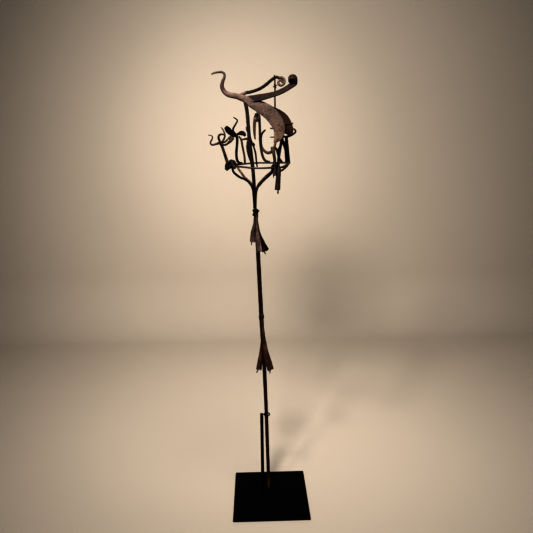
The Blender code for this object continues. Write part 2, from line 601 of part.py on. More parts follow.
# Bells: what they hang from, the direction of their width, the stations from the tang to the mouth in
# millimetres, the station that the hollow starts at, and the clapper's stations
BELLS = {
    "bell_upper_right": (shaft_at(UPPER_BELLS_HEIGHT), SIDEWAYS, (
        (2, -7.6, 10, 6.5, 2.6), (2.6, -8.8, -14, 7, 3), (3.5, -11, -32, 9, 5.5), (5.5, -14.5, -58, 12, 9.5),
        (7, -16, -74, 14.5, 12), (12.5, -19.5, -108, 29, 22), (23.5, -24, -147, 47, 34)
    ), 3, ((7, -16, -70, 2.4, 2.4), (16, -19, -110, 3, 3), (30, -23, -146, 3.6, 3.6), (35, -24, -157, 2.6, 2.6))),
    "bell_upper_left": (shaft_at(UPPER_BELLS_HEIGHT), SIDEWAYS, (
        (-3, 7.8, 6, 5.5, 2.6), (-3.5, 8.6, -12, 6, 3), (-6, 9.5, -45, 10, 8), (-8.5, 11, -70, 12.5, 11),
        (-9.5, 12.5, -80, 18, 15), (-12, 15, -113, 24, 22)
    ), 2, ((-8, 10.5, -60, 2.2, 2.2), (-13, 12, -96, 2.6, 2.6), (-18, 13, -115, 3, 3), (-19, 13, -127, 2, 2))),
    "bell_lower_right": (shaft_at(LOWER_BELLS_HEIGHT), SIDEWAYS, (
        (2.5, -10.6, 20, 7.5, 2.8), (3, -11.6, -10, 8, 3.4), (7, -14, -66, 11, 7), (11, -15.5, -104, 14, 10),
        (19, -17, -146, 18, 15), (33, -18, -212, 26, 22)
    ), 2, ((8.5, -14.5, -82, 2.4, 2.4), (20, -17, -150, 3.4, 3.4), (30, -18, -208, 4.4, 4.4),
           (31, -19, -228, 2.6, 2.6))),
    "bell_lower_left": (shaft_at(LOWER_BELLS_HEIGHT), SIDEWAYS, (
        (-1.5, 10.6, 20, 7, 2.8), (-0.5, 11.8, -10, 7, 3.4), (1, 13, -62, 8, 6.4), (0.5, 14, -115, 10.5, 9),
        (-5.5, 13, -166, 16, 14), (-14, 9, -222, 22.5, 20)
    ), 3, ((0, 14, -122, 2.4, 2.4), (-7, 12, -170, 3, 3), (-16, 9, -220, 3.6, 3.6), (-24, 8, -236, 2.4, 2.4))),
    "hoop_bell_left": (hoop_at(203.0), along_hoop(203.0), (
        (1.9, 0.8, 5, 6, 2.6), (-5.5, -2.4, 8, 7, 3), (-10.6, -4.6, 4, 8, 4), (-11.5, -5, -3, 10, 9),
        (-9, -6, -17, 15, 15)
    ), 3, ((-11, -5.6, -5, 1.6, 1.6), (-7.9, -8.8, -15, 2, 2), (-6.7, -10.4, -21, 1.8, 1.8))),
    "hoop_bell_front": (hoop_at(221.5), along_hoop(221.5), (
        (2.6, 2.2, 5, 5.5, 2.6), (-2, 1.5, 13, 6, 3), (-7, -3, 17, 7, 4), (-9, -10, 10, 8, 5),
        (-5.5, -15, 3, 9, 7), (3.5, -20, -4.5, 13, 12)
    ), 4, ((-5.2, -15.2, 2, 1.6, 1.6), (0.4, -16.8, -3, 2, 2), (3.2, -18.6, -9, 1.8, 1.8))),
    "hoop_bell_short": (hoop_at(297.0), along_hoop(297.0), (
        (7, -11, 15, 5, 2.6), (7, -11.4, 4, 6, 3.2), (7, -11.6, -4, 8, 6), (6, -12, -28, 14, 12)
    ), 1, ((7, -11.6, -5, 1.6, 1.6), (3, -13.5, -26, 2, 2), (1, -14, -35, 1.8, 1.8))),
    "hoop_bell_long": (hoop_at(306.0), along_hoop(306.0), (
        (-2, 2.6, 4.8, 5, 2.6), (3.8, -5, 6.2, 5.5, 3), (6.4, -9, 0, 8, 5), (6.4, -9.4, -10, 13, 10),
        (3.4, -8, -40, 16, 13), (0, -6, -79, 17.5, 16)
    ), 3, ((5.6, -9, -14, 2, 2), (3.4, -7, -60, 2.6, 2.6), (2.6, -6, -93, 4, 4))),
}

# Bindings: what they are measured from, their two ends, the direction of their width, turns of the wire
BINDINGS = {
    "binding_upper": (shaft_at(UPPER_BELLS_HEIGHT), ((-0.4, 0, -18, 17, 23), (1.2, 0, 16, 20.5, 25)), SIDEWAYS, 3),
    "binding_lower": (shaft_at(LOWER_BELLS_HEIGHT), ((0.6, 0, -4, 22, 31), (-0.4, 0, 14, 22, 30)), SIDEWAYS, 2),
}


def bells():
    """Rolled-sheet bells with their clappers, and the cutters that keep bindings off their tangs."""
    cutters = {}
    for name, design in BELLS.items():
        cutters[name] = bell(name, *design)
    return cutters


def bindings(bell_cutters):
    """Wire windings that hold the bells to the shaft and two of the arms to the hoop."""
    shaft_bells = [cutter for name, cutter in bell_cutters.items() if name.startswith("bell_")]
    for name, (origin, ends, across, turns) in BINDINGS.items():
        rows = np.array(ends) * MM
        rows[:, :3] += np.array(origin)
        binding(name, rows, across, [shaft_cutter, *shaft_bells], turns)
    angle, strokes = RING_BIRDS[-1]
    stem = helper(free_form("Stem cutter", hoop_at(angle), strokes[0], face=AWAY, sides=5, grow=GAP))
    hoop_bells = [cutter for name, cutter in bell_cutters.items() if name.startswith("hoop_")]
    for name, arm, angles, size, raised in (
        ("hoop_binding_left", "arm_front_left", (207.0, 217.5), (25.0, 22.0), 0.0045),
        ("hoop_binding_right", "arm_front_right", (297.0, 305.0), (22.0, 20.0), -0.0005),
    ):
        arm_cutter = helper(loft(arm + " cutter", arm_rows(arm), across=Vector((0.3, 1.0, 0.1)), grow=GAP))
        rows = [(*(hoop_at(angle) + UP * raised), size[0] * MM, size[1] * MM) for angle in angles]
        binding(name, rows, UP, [hoop_cutter, arm_cutter, stem, *hoop_bells], 3)


stand()
shaft()
hoop()
arms()
crown()
for number, (bird_angle, bird_strokes) in enumerate(RING_BIRDS, 1):
    ring_bird(f"ring_bird_{number}", bird_angle, bird_strokes)
tie_wire()
bindings(bells())
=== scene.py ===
"""Looks of the forged-iron ceremonial healing staff: hammered iron, rolled bells, wound wire, black stand.

Metres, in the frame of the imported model. The forged forms follow the same stations as the solids that they
stand for, on finer curves, and are then welded, planished and pitted.
"""
import math

import bmesh
import bpy
import numpy as np
from mathutils import Matrix, Vector


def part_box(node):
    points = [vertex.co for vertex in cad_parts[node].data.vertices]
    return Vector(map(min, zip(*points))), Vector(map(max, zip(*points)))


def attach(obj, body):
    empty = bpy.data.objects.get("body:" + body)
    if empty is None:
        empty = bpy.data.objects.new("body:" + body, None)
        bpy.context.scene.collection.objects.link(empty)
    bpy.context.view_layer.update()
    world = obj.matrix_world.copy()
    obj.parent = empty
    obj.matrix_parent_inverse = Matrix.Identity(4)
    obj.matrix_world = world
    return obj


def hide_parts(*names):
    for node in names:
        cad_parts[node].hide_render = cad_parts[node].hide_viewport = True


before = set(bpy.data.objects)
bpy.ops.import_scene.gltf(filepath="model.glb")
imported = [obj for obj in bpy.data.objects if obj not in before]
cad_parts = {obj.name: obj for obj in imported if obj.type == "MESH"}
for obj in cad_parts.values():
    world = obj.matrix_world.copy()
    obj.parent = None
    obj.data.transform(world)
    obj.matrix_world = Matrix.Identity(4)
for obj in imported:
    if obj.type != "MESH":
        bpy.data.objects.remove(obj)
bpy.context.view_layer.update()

MM = 0.001
SIDEWAYS = Vector((1.0, 0.0, 0.0))
AWAY = Vector((0.0, 1.0, 0.0))
UP = Vector((0.0, 0.0, 1.0))

# Places read from the frame
STAND_BOXES = {node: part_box(node) for node in ("stand_plate", "stand_bar")}
RING_LOW, RING_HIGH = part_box("stand_ring")
SHAFT_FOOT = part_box("shaft")[0].z

# Main levels of the staff
STAFF_SETBACK = 0.045
LOWER_BELLS_HEIGHT = 0.770
UPPER_BELLS_HEIGHT = 1.192
FORK_HEIGHT = 1.262
HOOP_HEIGHT = 1.376
TOP_HEIGHT = 1.598

# Shaft: height, sideways place, diameter
SHAFT_STATIONS = (
    (SHAFT_FOOT, -0.006, 0.0095), (0.060, -0.007, 0.0120), (0.214, -0.010, 0.0132), (0.379, -0.0132, 0.0136),
    (0.560, -0.0185, 0.0145), (LOWER_BELLS_HEIGHT, -0.027, 0.0159), (1.008, -0.0355, 0.0149),
    (UPPER_BELLS_HEIGHT - 0.055, -0.0405, 0.0135), (UPPER_BELLS_HEIGHT + 0.012, -0.0430, 0.0082),
    (FORK_HEIGHT, -0.0452, 0.0076), (FORK_HEIGHT + 0.052, -0.0476, 0.0088), (HOOP_HEIGHT, -0.0525, 0.0094),
    (HOOP_HEIGHT + 0.050, -0.0580, 0.0098), (TOP_HEIGHT - 0.120, -0.0627, 0.0094),
    (TOP_HEIGHT - 0.038, -0.0678, 0.0092), (TOP_HEIGHT, -0.0745, 0.0098)
)
LEAF = (
    (0, -1, -14, 5, 4), (-3, -3, 2, 9, 3.6), (-7.5, -4, 21, 12, 3.4), (-11, -4, 39, 13, 3.2),
    (-13.5, -4, 56, 10.5, 2.8), (-15, -4, 74, 3.5, 2.4)
)
LEAF_RISE = 0.010
SHAFT_SPACING = 0.006
# How much fuller the rounded bar is than the faceted solid, below the fork and above it
SHAFT_FULLER = 0.0005
ROD_FULLER = 0.0034

# Hoop: its strip is a little fuller than the faceted solid's
HOOP_CENTRE = Vector((-0.031, 0.050, HOOP_HEIGHT))
HOOP_RADIUS = 0.114
HOOP_CORNER = 0.002
HOOP_STRIP = (0.0124, 0.0059)
HOOP_LIFT = (0.003, 0.003, 0.004, -0.001, 0.006, -0.009, -0.016, -0.014)
HOOP_TWIST_AT, HOOP_TWIST, HOOP_TWIST_SPREAD = 148.0, 58.0, 13.0
RIVET_AT = 352.0
RIVET_RADII = (0.0033, 0.0033, 0.0036)

# Arms, in millimetres from the fork: distance off the shaft's axis, height and share of the diameter in the
# bundle, and for each arm its hoop angle, the signs of its quarter, its thickening and its free stations
ARM_DIAMETER = 5.8
ARM_BELOW_HOOP = 3.4
ARM_BUNDLE = ((3.7, -53.2, 0.6), (4.0, -25, 0.8), (4.9, 0, 1.0))
ARM_ACROSS = Vector((0.3, 1.0, 0.1))
ARMS = {
    "arm_front_left": (214.0, -1, -1, 1.05, (
        (-6, -6, 15), (-10, -7, 29), (-17, -12, 41), (-26, -19, 51), (-38, -29, 59), (-54, -39, 66),
        (-75, -54, 84)
    )),
    "arm_back_left": (137.0, -1, 1, 1.25, (
        (-6, 7, 18), (-8, 10, 33), (-16, 17, 45), (-28, 28, 55), (-40, 42, 66), (-50, 57, 80), (-60, 72, 93)
    )),
    "arm_front_right": (300.0, 1, -1, 1.80, (
        (7, -7, 16), (11, -9, 28), (18, -16, 38), (31, -31, 53), (47, -53, 68), (62, -77, 83)
    )),
    "arm_back_right": (1.0, 1, 1, 1.05, (
        (7, 7, 20), (14, 9, 36), (28, 9, 52), (51, 8, 74), (74, 7, 83), (101, 7, 87), (120, 7, 101)
    )),
}

# Top bird, in millimetres from the shaft's top: centre, width, thickness
BIRD_NECK = (
    (-120, 0, 96, 2.8), (-111, 0, 100.4, 4.4, 4.2), (-94, 0, 103.4, 5.2, 5), (-81, 0, 103.4, 6, 5.6),
    (-73, 0, 97, 6.2, 6), (-74, 0, 84, 7.6, 7), (-80, 0, 70, 10, 8.5), (-83, 0, 54, 12.5, 10),
    (-77, 0, 39, 14.5, 11.5), (-66, 0, 29, 16, 12.5), (-51, 0, 24, 17.5, 13.5), (-29, 0, 20, 18.5, 14),
    (-6, 0, 12, 22, 14), (16, 0, 2, 26, 9)
)
BIRD_NEAR_TAIL = (
    (2, -1, 9, 22, 8), (28, -4, -6, 34, 4.5), (60, -9, -22, 43, 3), (88, -17, -41, 49, 2.8),
    (106, -22, -62, 48, 2.8), (118, -27, -82, 46, 2.6), (123, -30, -105, 40, 2.6),
    (118, -31, -128, 31, 2.4), (103, -31, -147, 5, 2.2)
)
BIRD_FAR_TAIL = (
    (6, 2, 8, 20, 8), (49, 13, -14, 27, 3.4), (86, 23, -29, 36, 2.8), (115, 31, -43, 43, 2.8),
    (138, 37, -60, 46, 2.6), (153, 41, -81, 44, 2.6), (162, 45, -101, 37, 2.4), (165, 46, -111, 26, 2.4),
    (165, 46.5, -117, 9, 2.2)
)
BIRD_FAR_WING = (
    (-28, 2, 20, 12, 7), (0, 8, 32, 18, 6), (19, 13, 36, 20, 5), (43, 22, 44, 20, 5),
    (63, 30, 54, 20, 5.2), (82, 38, 68, 20, 5.4), (101, 45, 84, 19, 5.2), (116, 49, 93, 18, 4.8)
)
BIRD_NEAR_WING = (
    (2, 0, 12, 14, 7), (28, -6, 10.5, 21, 6), (48, -12, 12, 23, 5), (90, -30, 18, 22, 4),
    (125, -43, 27, 22, 4), (150, -52, 38, 22, 4.2)
)
NEAR_WING_ACROSS = Vector((0.0, 0.64, 0.77))
NEAR_WING_UP = Vector((0.0, -0.77, 0.64))
NEAR_WING_TURNS_FROM, NEAR_WING_TURNS_OVER = 0.016, 0.080
SCROLL_STEPS = 14

# Ring birds: the hoop angle, then each stroke from the hoop, the stem and neck first
RING_BIRDS = (
    (186.0, (
        ((0, 0, 0, 9, 7), (-3, 0, 8, 9, 7), (-12, -1, 38, 8, 6), (-20, -2, 62, 8, 6.5),
         (-28, -2, 71, 8, 7), (-40, -3, 68, 5.4, 5), (-55, -5, 65, 4.8, 4), (-61, -6, 73, 4, 3.6),
         (-53, -7, 89, 3.2, 3), (-56, -8, 98, 2.4), (-68, -8, 100, 1.6)),
        ((-23, -2, 70, 6, 5), (-30, -8, 88, 6, 4.5), (-28, -12, 98, 5.5, 4), (-17, -14, 102, 5, 4),
         (-7, -12, 98, 4, 3.6), (-9, -8, 87, 2.4)),
        ((-22, 1, 72, 5, 4.5), (-12, 6, 85, 5, 4), (-8, 12, 100, 4, 3.4), (-14, 18, 119, 3, 2.6),
         (-22, 22, 129, 1.8)),
        ((-24, -2, 68, 6, 5), (-8, -10, 64, 5, 4), (3, -14, 69, 6, 4), (14, -18, 78, 9, 4),
         (23, -20, 90, 12, 3.4)),
        ((-24, 0, 73, 6, 5), (-9, 8, 75, 4.5, 4), (2, 12, 85, 4.5, 3.6), (13, 14, 93, 3.4, 3)),
    )),
    (130.0, (
        ((12, 10, 3.8, 6, 5), (4, 4.5, 4.4, 6.6, 5.6), (-6, 1, 12, 7, 6), (-10, 0, 31, 6.8, 6),
         (-9, -1, 55, 6.8, 6), (-6, -3, 81, 6.8, 6), (-6, -5, 102, 7.5, 7), (-14, -6, 114, 9, 8),
         (-20, -3, 124, 6, 5.5), (-20, 1, 136, 4.8, 4.4), (-9, 7, 155, 3.6, 3.4), (-4, 11, 164, 3.2, 3),
         (-6, 14, 171, 2.6), (-19, 18, 180, 1.4)),
        ((-10, -6, 108, 7, 6), (-20, -11, 113, 12, 4), (-31, -18, 121, 17, 3.4), (-40, -23, 131, 18, 3),
         (-48, -27, 141, 10, 2.6)),
        ((-10, -6, 110, 7, 6), (0, -8, 115, 7, 5), (10, -10, 118, 13, 4), (19, -12, 116, 13, 3.6),
         (27, -14, 107, 6, 3)),
        ((-13, -8, 112, 8, 6), (-26, -25, 103, 10, 4), (-36, -37, 97, 7, 3)),
    )),
    (118.0, (
        ((3, 0, 0, 5.4, 5), (1, -1, 30, 5.2, 5), (-5, -2, 64, 5.2, 5), (-10, -3, 92, 5),
         (-19, -4, 106, 3.4)),
        ((-11, -4, 93, 4.4), (5, -5, 95, 4.4, 4), (18, -4, 100, 4.2, 4), (18, -1, 117, 3.6, 3.4),
         (12, 2, 131, 3), (11, 5, 142, 1.8)),
        ((14, -5, 96, 4), (15, -10, 90, 3.6, 3.4), (16, -13, 80, 2.4)),
    )),
    (93.0, (
        ((4, -9, -17, 3), (2, -9, -5, 4.2, 4), (1, -9, 4, 4.4, 4), (0, -5, 13, 4.6, 4.4),
         (-2, -1, 36, 4.8, 4.4), (-8, -2, 59, 4.8, 4.6), (-18, -3, 84, 5.6, 5.4), (-22, -1, 99, 4.8, 4.6),
         (-25, 2, 126, 4), (-28, 4, 147, 3.4), (-30, 10, 163, 2.8), (-30, 20, 168, 1.8)),
        ((-13, -3, 68, 4), (-8, -7, 66, 3.6, 3.4), (-7, -9, 72, 3.2, 3), (-13, -8, 78, 2.4)),
        ((-17, -4, 80, 5), (-22, -28, 61, 6.5, 3.4), (-25, -46, 48, 5, 2.6)),
    )),
    (69.0, (
        ((7, -5, 3.8, 5, 4.6), (-2, -2, 4.6, 6, 5.4), (-13, 0, 11, 6.6, 6), (-21, -1, 26.5, 6.6, 6),
         (-27, -4, 54.5, 6.6, 6), (-30, -12, 88.5, 6.6, 6), (-31, -28, 125.5, 6.4, 6),
         (-32, -42, 155.5, 6.2, 5.4), (-33, -46, 174.5, 6.2, 5), (-40, -48, 183.5, 6.4, 5),
         (-47, -50, 174.5, 7, 4.4), (-50, -52, 157.5, 8.5, 3.4), (-52, -54, 135.5, 8, 3),
         (-52, -55, 112, 6, 2.8), (-50, -55, 88, 2)),
        ((-39, -47, 184.5, 9, 4), (-40, -47.5, 175.5, 16, 4), (-41, -48.5, 167, 18, 3.6),
         (-41, -49.5, 160, 14, 3.2), (-41, -50.5, 153, 4, 2.6)),
        ((-36, -47, 181.5, 5, 4.6), (-28, -38, 190.5, 6, 5), (-14, -23, 191.5, 6, 4.6),
         (2, -12, 181.5, 5.4, 4.4), (21, -6, 163.5, 4.4, 4), (27, -4, 144.5, 3.6, 3.4),
         (21, -3, 132.5, 3, 2.8), (9, -3, 132.5, 1.8)),
    )),
    (34.0, (
        ((0, 0, 0, 6.6, 6), (-3, -1, 5, 6.6, 6), (-10, -2, 15, 6.4, 6), (-16, -4, 32, 6.4, 6),
         (-20, -6, 47, 6.6, 6), (-26, -8, 57, 5.4, 5), (-29, -8, 67, 4.8, 4.6), (-25, -6, 77, 4.4, 4),
         (-15, -2, 88, 4, 3.8), (-18, 0, 96, 3.4), (-32, 1, 97, 2.8), (-46, 2, 97, 1.8)),
        ((-19, -6, 46, 5), (-11, -2, 56, 5.6, 4.6), (-4, 2, 68, 5.6, 4), (0, 4, 84, 5, 3.6),
         (2, 6, 104, 3.8, 3), (-3, 8, 117, 1.8)),
    )),
    (15.0, (
        ((0, 0, 0, 8, 7), (-1, 0, 23, 8.6, 7), (-3, -1, 47, 8.6, 7), (-8, -2, 64, 8.4, 7),
         (-14, -3, 76, 7.6, 6.6), (-16, -4, 88, 5.4, 5), (-15, -2, 104, 4), (-19, 0, 119, 3),
         (-32, 2, 127, 1.8)),
        ((-10, -2, 69, 5), (-4, -9, 76, 6.4, 3.6), (3, -17, 82, 5, 3)),
    )),
    (2.0, (
        ((0, 0, 0, 8.6, 7), (-4, 0, 38, 9, 7.4), (-6, 0, 63, 8.6, 7), (-8, 0, 84, 8, 6.8),
         (-6, 0, 94, 7, 6), (6, 2, 98, 4.6, 4.4), (18, 3, 104, 4.2, 4), (26, 4, 111, 3.8, 3.6),
         (26, 5, 118, 3.2), (21, 5, 122, 2.8), (13, 6, 124, 1.8)),
        ((-7, 0, 92, 6), (-17, -1, 95, 5, 4), (-27, -2, 95, 4, 3.4), (-37, -4, 98, 2)),
    )),
    (310.0, (
        ((0, 0, 0, 6.4, 6), (-1, 2, 10, 6.4, 6), (1, 15, 32, 6.4, 6), (6, 38, 57, 6.4, 6),
         (12, 57, 84, 6.6, 6), (18, 67, 114, 7, 6.4), (19, 73, 136, 6, 5.6), (26, 77, 147, 3.6, 3.4),
         (38, 85, 154, 2.2), (50, 92, 155, 1.6), (56, 94, 158, 1.2), (60, 95, 162, 0.8)),
        ((18, 69, 132, 6), (12, 76, 129, 5, 4), (2, 84, 120, 4, 3)),
    )),
    (301.0, (
        ((0, 0, 0, 7.2, 6.6), (0, -1, 14, 7.2, 6.6), (0, -1, 27, 7.2, 6.6), (-2, 2, 44, 7.6, 7),
         (-4, 6, 57, 10, 8), (-5, 8, 66, 12.5, 9), (-5, 9, 72, 12, 8.6)),
        ((-6, 8, 60, 7, 6), (-13, 10, 54, 7.4, 5.4), (-25, 14, 52, 7, 5), (-36, 18, 59, 6.2, 4.6),
         (-45, 22, 72, 6, 4.6), (-48, 24, 90, 5.8, 4.6), (-47, 24, 108, 5.2, 4.2),
         (-42, 22, 121, 4.2, 3.8), (-31, 18, 132, 2.6, 2.4)),
        ((-4, 8, 67, 6, 5), (1, 11, 75, 5.6, 4), (6, 18, 91, 5, 3.4), (15, 26, 102, 3, 2.6)),
    )),
)
# What a bird's strokes gain in weight, in millimetres, where it is not 1.1
BIRD_PLUS = {2: 1.9, 3: 1.8, 5: 2.3, 7: 2.2, 8: 2.2, 9: 2.8, 10: 2.1}


def shaft_at(height):
    """Centre of the shaft at a height."""
    heights = [row[0] for row in SHAFT_STATIONS]
    places = [row[1] for row in SHAFT_STATIONS]
    return Vector((float(np.interp(height, heights, places)), STAFF_SETBACK, height))


def hoop_at(angle):
    """Centre of the hoop's strip at an angle in degrees."""
    angle = angle % 360.0
    index = int(angle // 45.0)
    share = angle / 45.0 - index
    share = share * share * (3.0 - 2.0 * share)
    lift = HOOP_LIFT[index] + (HOOP_LIFT[(index + 1) % 8] - HOOP_LIFT[index]) * share
    off_corner = min(angle, 360.0 - angle)
    radius = HOOP_RADIUS + HOOP_CORNER * max(0.0, 1.0 - off_corner / 16.0)
    turn = math.radians(angle)
    return HOOP_CENTRE + Vector((radius * math.cos(turn), radius * math.sin(turn), lift))


def along_hoop(angle):
    """Direction of the hoop's strip at an angle in degrees."""
    return Vector((-math.sin(math.radians(angle)), math.cos(math.radians(angle)), 0.0))


# Bells: origin, direction of the width, stations, the station that the hollow starts at, clapper's stations
BELLS = {
    "bell_upper_right": (shaft_at(UPPER_BELLS_HEIGHT), SIDEWAYS, (
        (2, -7.6, 10, 6.5, 2.6), (2.6, -8.8, -14, 7, 3), (3.5, -11, -32, 9, 5.5),
        (5.5, -14.5, -58, 12, 9.5), (7, -16, -74, 16, 12), (12.5, -19.5, -108, 33, 23),
        (23.5, -24, -147, 51, 35)
    ), ((7, -16, -70, 2.4), (16, -19, -110, 3), (30, -23, -146, 3.6), (35, -24, -157, 2.6))),
    "bell_upper_left": (shaft_at(UPPER_BELLS_HEIGHT), SIDEWAYS, (
        (-3, 7.8, 6, 5.5, 2.6), (-3.5, 8.6, -12, 6, 3), (-6, 9.5, -45, 10, 8), (-10, 11, -68, 15, 11),
        (-11, 12.5, -80, 20, 15), (-12, 15, -113, 24.5, 22)
    ), ((-8, 10.5, -60, 2.2), (-13, 12, -96, 2.6), (-18, 13, -115, 3), (-19, 13, -127, 2))),
    "bell_lower_right": (shaft_at(LOWER_BELLS_HEIGHT), SIDEWAYS, (
        (2.5, -10.6, 20, 7.5, 2.8), (3, -11.6, -10, 8, 3.4), (7, -14, -66, 11, 7),
        (10.5, -15.5, -104, 16, 11), (16.5, -17, -146, 22.5, 16), (24.5, -17.5, -180, 26, 20),
        (33, -18, -212, 26, 22)
    ), ((8.5, -14.5, -82, 2.4), (20, -17, -150, 3.4), (30, -18, -208, 4.4),
        (31, -19, -228, 2.6))),
    "bell_lower_left": (shaft_at(LOWER_BELLS_HEIGHT), SIDEWAYS, (
        (-1.5, 10.6, 20, 7, 2.8), (-0.5, 11.8, -10, 7, 3.4), (1, 13, -62, 8, 6.4),
        (0.5, 14, -115, 10.5, 9), (-5.5, 13, -166, 16, 14), (-14, 9, -222, 22.5, 20)
    ), ((0, 14, -122, 2.4), (-7, 12, -170, 3), (-16, 9, -220, 3.6), (-24, 8, -236, 2.4))),
    "hoop_bell_left": (hoop_at(203.0), along_hoop(203.0), (
        (1.9, 0.8, 5, 6, 2.6), (-5.5, -2.4, 8, 7, 3), (-10.6, -4.6, 4, 8, 4), (-11.5, -5, -3, 10, 9),
        (-9, -6, -17, 15)
    ), ((-11, -5.6, -5, 1.6), (-7.9, -8.8, -15, 2), (-6.7, -10.4, -21, 1.8))),
    "hoop_bell_front": (hoop_at(221.5), along_hoop(221.5), (
        (2.6, 2.2, 5, 5.5, 2.6), (-2, 1.5, 13, 6, 3), (-7, -3, 17, 7, 4), (-9, -10, 10, 8, 5),
        (-5.5, -15, 3, 9, 7), (3.5, -20, -4.5, 13, 12)
    ), ((-5.2, -15.2, 2, 1.6), (0.4, -16.8, -3, 2), (3.2, -18.6, -9, 1.8))),
    "hoop_bell_short": (hoop_at(297.0), along_hoop(297.0), (
        (7, -11, 15, 5, 2.6), (7, -11.4, 4, 6, 3.2), (7, -11.6, -4, 8, 6), (6, -12, -28, 14, 12)
    ), ((7, -11.6, -5, 1.6), (3, -13.5, -26, 2), (1, -14, -35, 1.8))),
    "hoop_bell_long": (hoop_at(306.0), along_hoop(306.0), (
        (-2, 2.6, 4.8, 5, 2.6), (3.8, -5, 6.2, 5.5, 3), (6.4, -9, 0, 8, 5), (6.4, -9.4, -10, 13, 10),
        (3.4, -8, -40, 16, 13), (0, -6, -79, 17.5, 16)
    ), ((5.6, -9, -14, 2), (3.4, -7, -60, 2.6), (2.6, -6, -93, 4))),
}
BELL_SEAMS = {
    "bell_upper_right": -84.0, "bell_upper_left": -20.0,
    "bell_lower_right": -128.0, "bell_lower_left": -75.0,
    "hoop_bell_left": -60.0, "hoop_bell_front": -90.0, "hoop_bell_short": -60.0, "hoop_bell_long": -70.0
}
BELL_SIDES = 56
BELL_WALL = 0.0014
BELL_LAP = 24.0
BELL_LAP_STEP = 0.10
# How far up from the mouth a bell is torn, and how deep, as shares of the mouth's width
TEAR_REACH = 0.55
TEAR_DEPTH = 0.11

# Bindings, in millimetres: outline along the shaft, and twisted-off ends
BINDING_WIRE = 0.0036
UPPER_WINDING = (
    (0.6, 0, 14.5, 17, 20), (0.4, 0, 11, 23.5, 25), (0, 0, 6, 25, 26), (0.4, 0, 1.5, 18.5, 23),
    (-0.8, 0, -3.5, 20.5, 23.5), (0, 0, -8, 17.5, 22), (0.8, 0, -13, 18, 21), (0.8, 0, -16.5, 15, 19)
)
UPPER_ENDS = (
    ((4, -10, 9, 3), (11, -11, 7, 3.4), (15, -9, 10, 2.6)),
    ((-6, -9, -3, 4), (-10, -9, -6, 6, 5.6), (-10, -6, -10, 3)),
)
LOWER_WINDING = (
    (0.6, 0, -3.5, 18, 28), (0.4, 0, 0, 21.5, 31), (0, 0, 6, 21, 30), (-0.2, 0, 10, 22, 30.5),
    (-0.4, 0, 13.5, 18.5, 28)
)
# Bindings on the hoop: angles from and to, width and depth, rise, ends; and their swell along the length
HOOP_BINDINGS = {
    "hoop_binding_left": ((206.0, 219.0), (30.0, 25.0), 6.4, (
        ((-2, -10, 8, 3), (-7, -13, 12, 3.4), (-4, -13, 15, 2.6)),
        ((-3, -6, -3, 15, 14), (-10, -9, -6, 14, 12), (-16, -9, -12, 10, 9), (-19, -8, -17, 5)),
    )),
    "hoop_binding_right": ((296.5, 306.0), (28.0, 24.0), 0.2, (
        ((3, -9, 4, 3), (10, -13, 9, 3.4), (15, -12, 6, 2.6)),
    )),
}
HOOP_BINDING_SWELL = ((0.0, 0.78), (0.2, 0.97), (0.45, 1.0), (0.65, 0.9), (0.82, 1.02), (1.0, 0.8))

# Tie wire: its line and its knot in millimetres, then the lay of its two strands in metres
TIE_PATH = ((35, 80, 1695), (36, 79, 1685), (37, 79, 1656), (36, 77, 1630), (36, 75, 1600), (36, 73, 1577))
TIE_KNOT = (
    ((30, 79, 1653, 2.6), (34, 77, 1657, 3.4), (40, 77, 1658, 3.4), (47, 79, 1661, 2.6)),
    ((33, 79, 1664, 2.6), (37, 76.5, 1658, 3.4), (42, 79, 1650, 2.6)),
    ((36, 76, 1652, 3), (33.5, 79, 1655, 3), (36, 81.5, 1658, 3), (39.5, 79, 1661, 3),
     (36, 76, 1663, 3))
)
TIE_LAY = 0.0065
TIE_OFF_AXIS = 0.0012
TIE_STRAND = 0.0033

# Stand
STAND_EDGE = 0.0009
RING_WIRE = 0.0050
RING_TILT = math.radians(4.0)
RING_STEPS = 72

# Surface: share of a section's turn that is carried on, middles of the patterns, wear, reflection and
# painted shade on faces turned down
STEADY_TURN = 0.2
VORONOI_MIDDLE = 0.36
CLOUDS_MIDDLE = 0.46
WEAR_ROUNDS = 3
WEAR_DEPTH = 0.0004
SKIN_REFLECTION = 0.10
UNDERSIDE_SHADE_LEFT = (0.22, 0.20, 0.21)

# Backdrop: half its width, its front edge, its wall, the bend between floor and wall, and its height
SWEEP_HALF, SWEEP_FRONT, SWEEP_WALL, SWEEP_BEND, SWEEP_HEIGHT = 6.0, -4.0, 2.30, 0.45, 4.5

# Lamps: place, point that it is turned to, cone in degrees, power in watts, size
LAMPS = (
    ("Key far pool", (-0.53, -1.75, 2.59), (-0.12, 2.3, 1.62), 34.0, 136.0, 0.30),
    ("Key far", (-0.53, -1.75, 2.59), (0.35, 2.2, 1.00), 110.0, 450.0, 0.30),
    ("Key middle", (-0.36, -1.20, 2.26), (0.10, 2.3, 1.40), 80.0, 77.0, 0.25),
    ("Key near", (-0.49, -0.64, 2.24), (0.25, 2.2, 0.90), 110.0, 80.0, 0.07),
    ("Overhead pool", (0.3, -0.6, 3.4), (0.08, 0.2, 0.0), 50.0, 87.0, 0.5),
    ("Overhead", (0.3, -0.6, 3.4), (0.08, 0.6, 0.0), 100.0, 145.0, 0.5),
)
LAMP_COLOUR = (1.0, 0.93, 0.84)
ROOM_COLOUR = (1.075, 1.0, 0.903)
ROOM_STRENGTH = 0.08

# Camera: focal length and picture width in pixels, then its turns and its place in front of the staff
FOCAL_PIXELS, IMAGE_PIXELS = 486.327, 533
CAMERA_PITCH, CAMERA_ROLL, CAMERA_AZIMUTH = math.radians(11.666), math.radians(-0.737), math.radians(1.310)
CAMERA_DISTANCE, CAMERA_HEIGHT, CAMERA_SHIFT = 1.82165, 1.36703, -0.00511


# Modelling

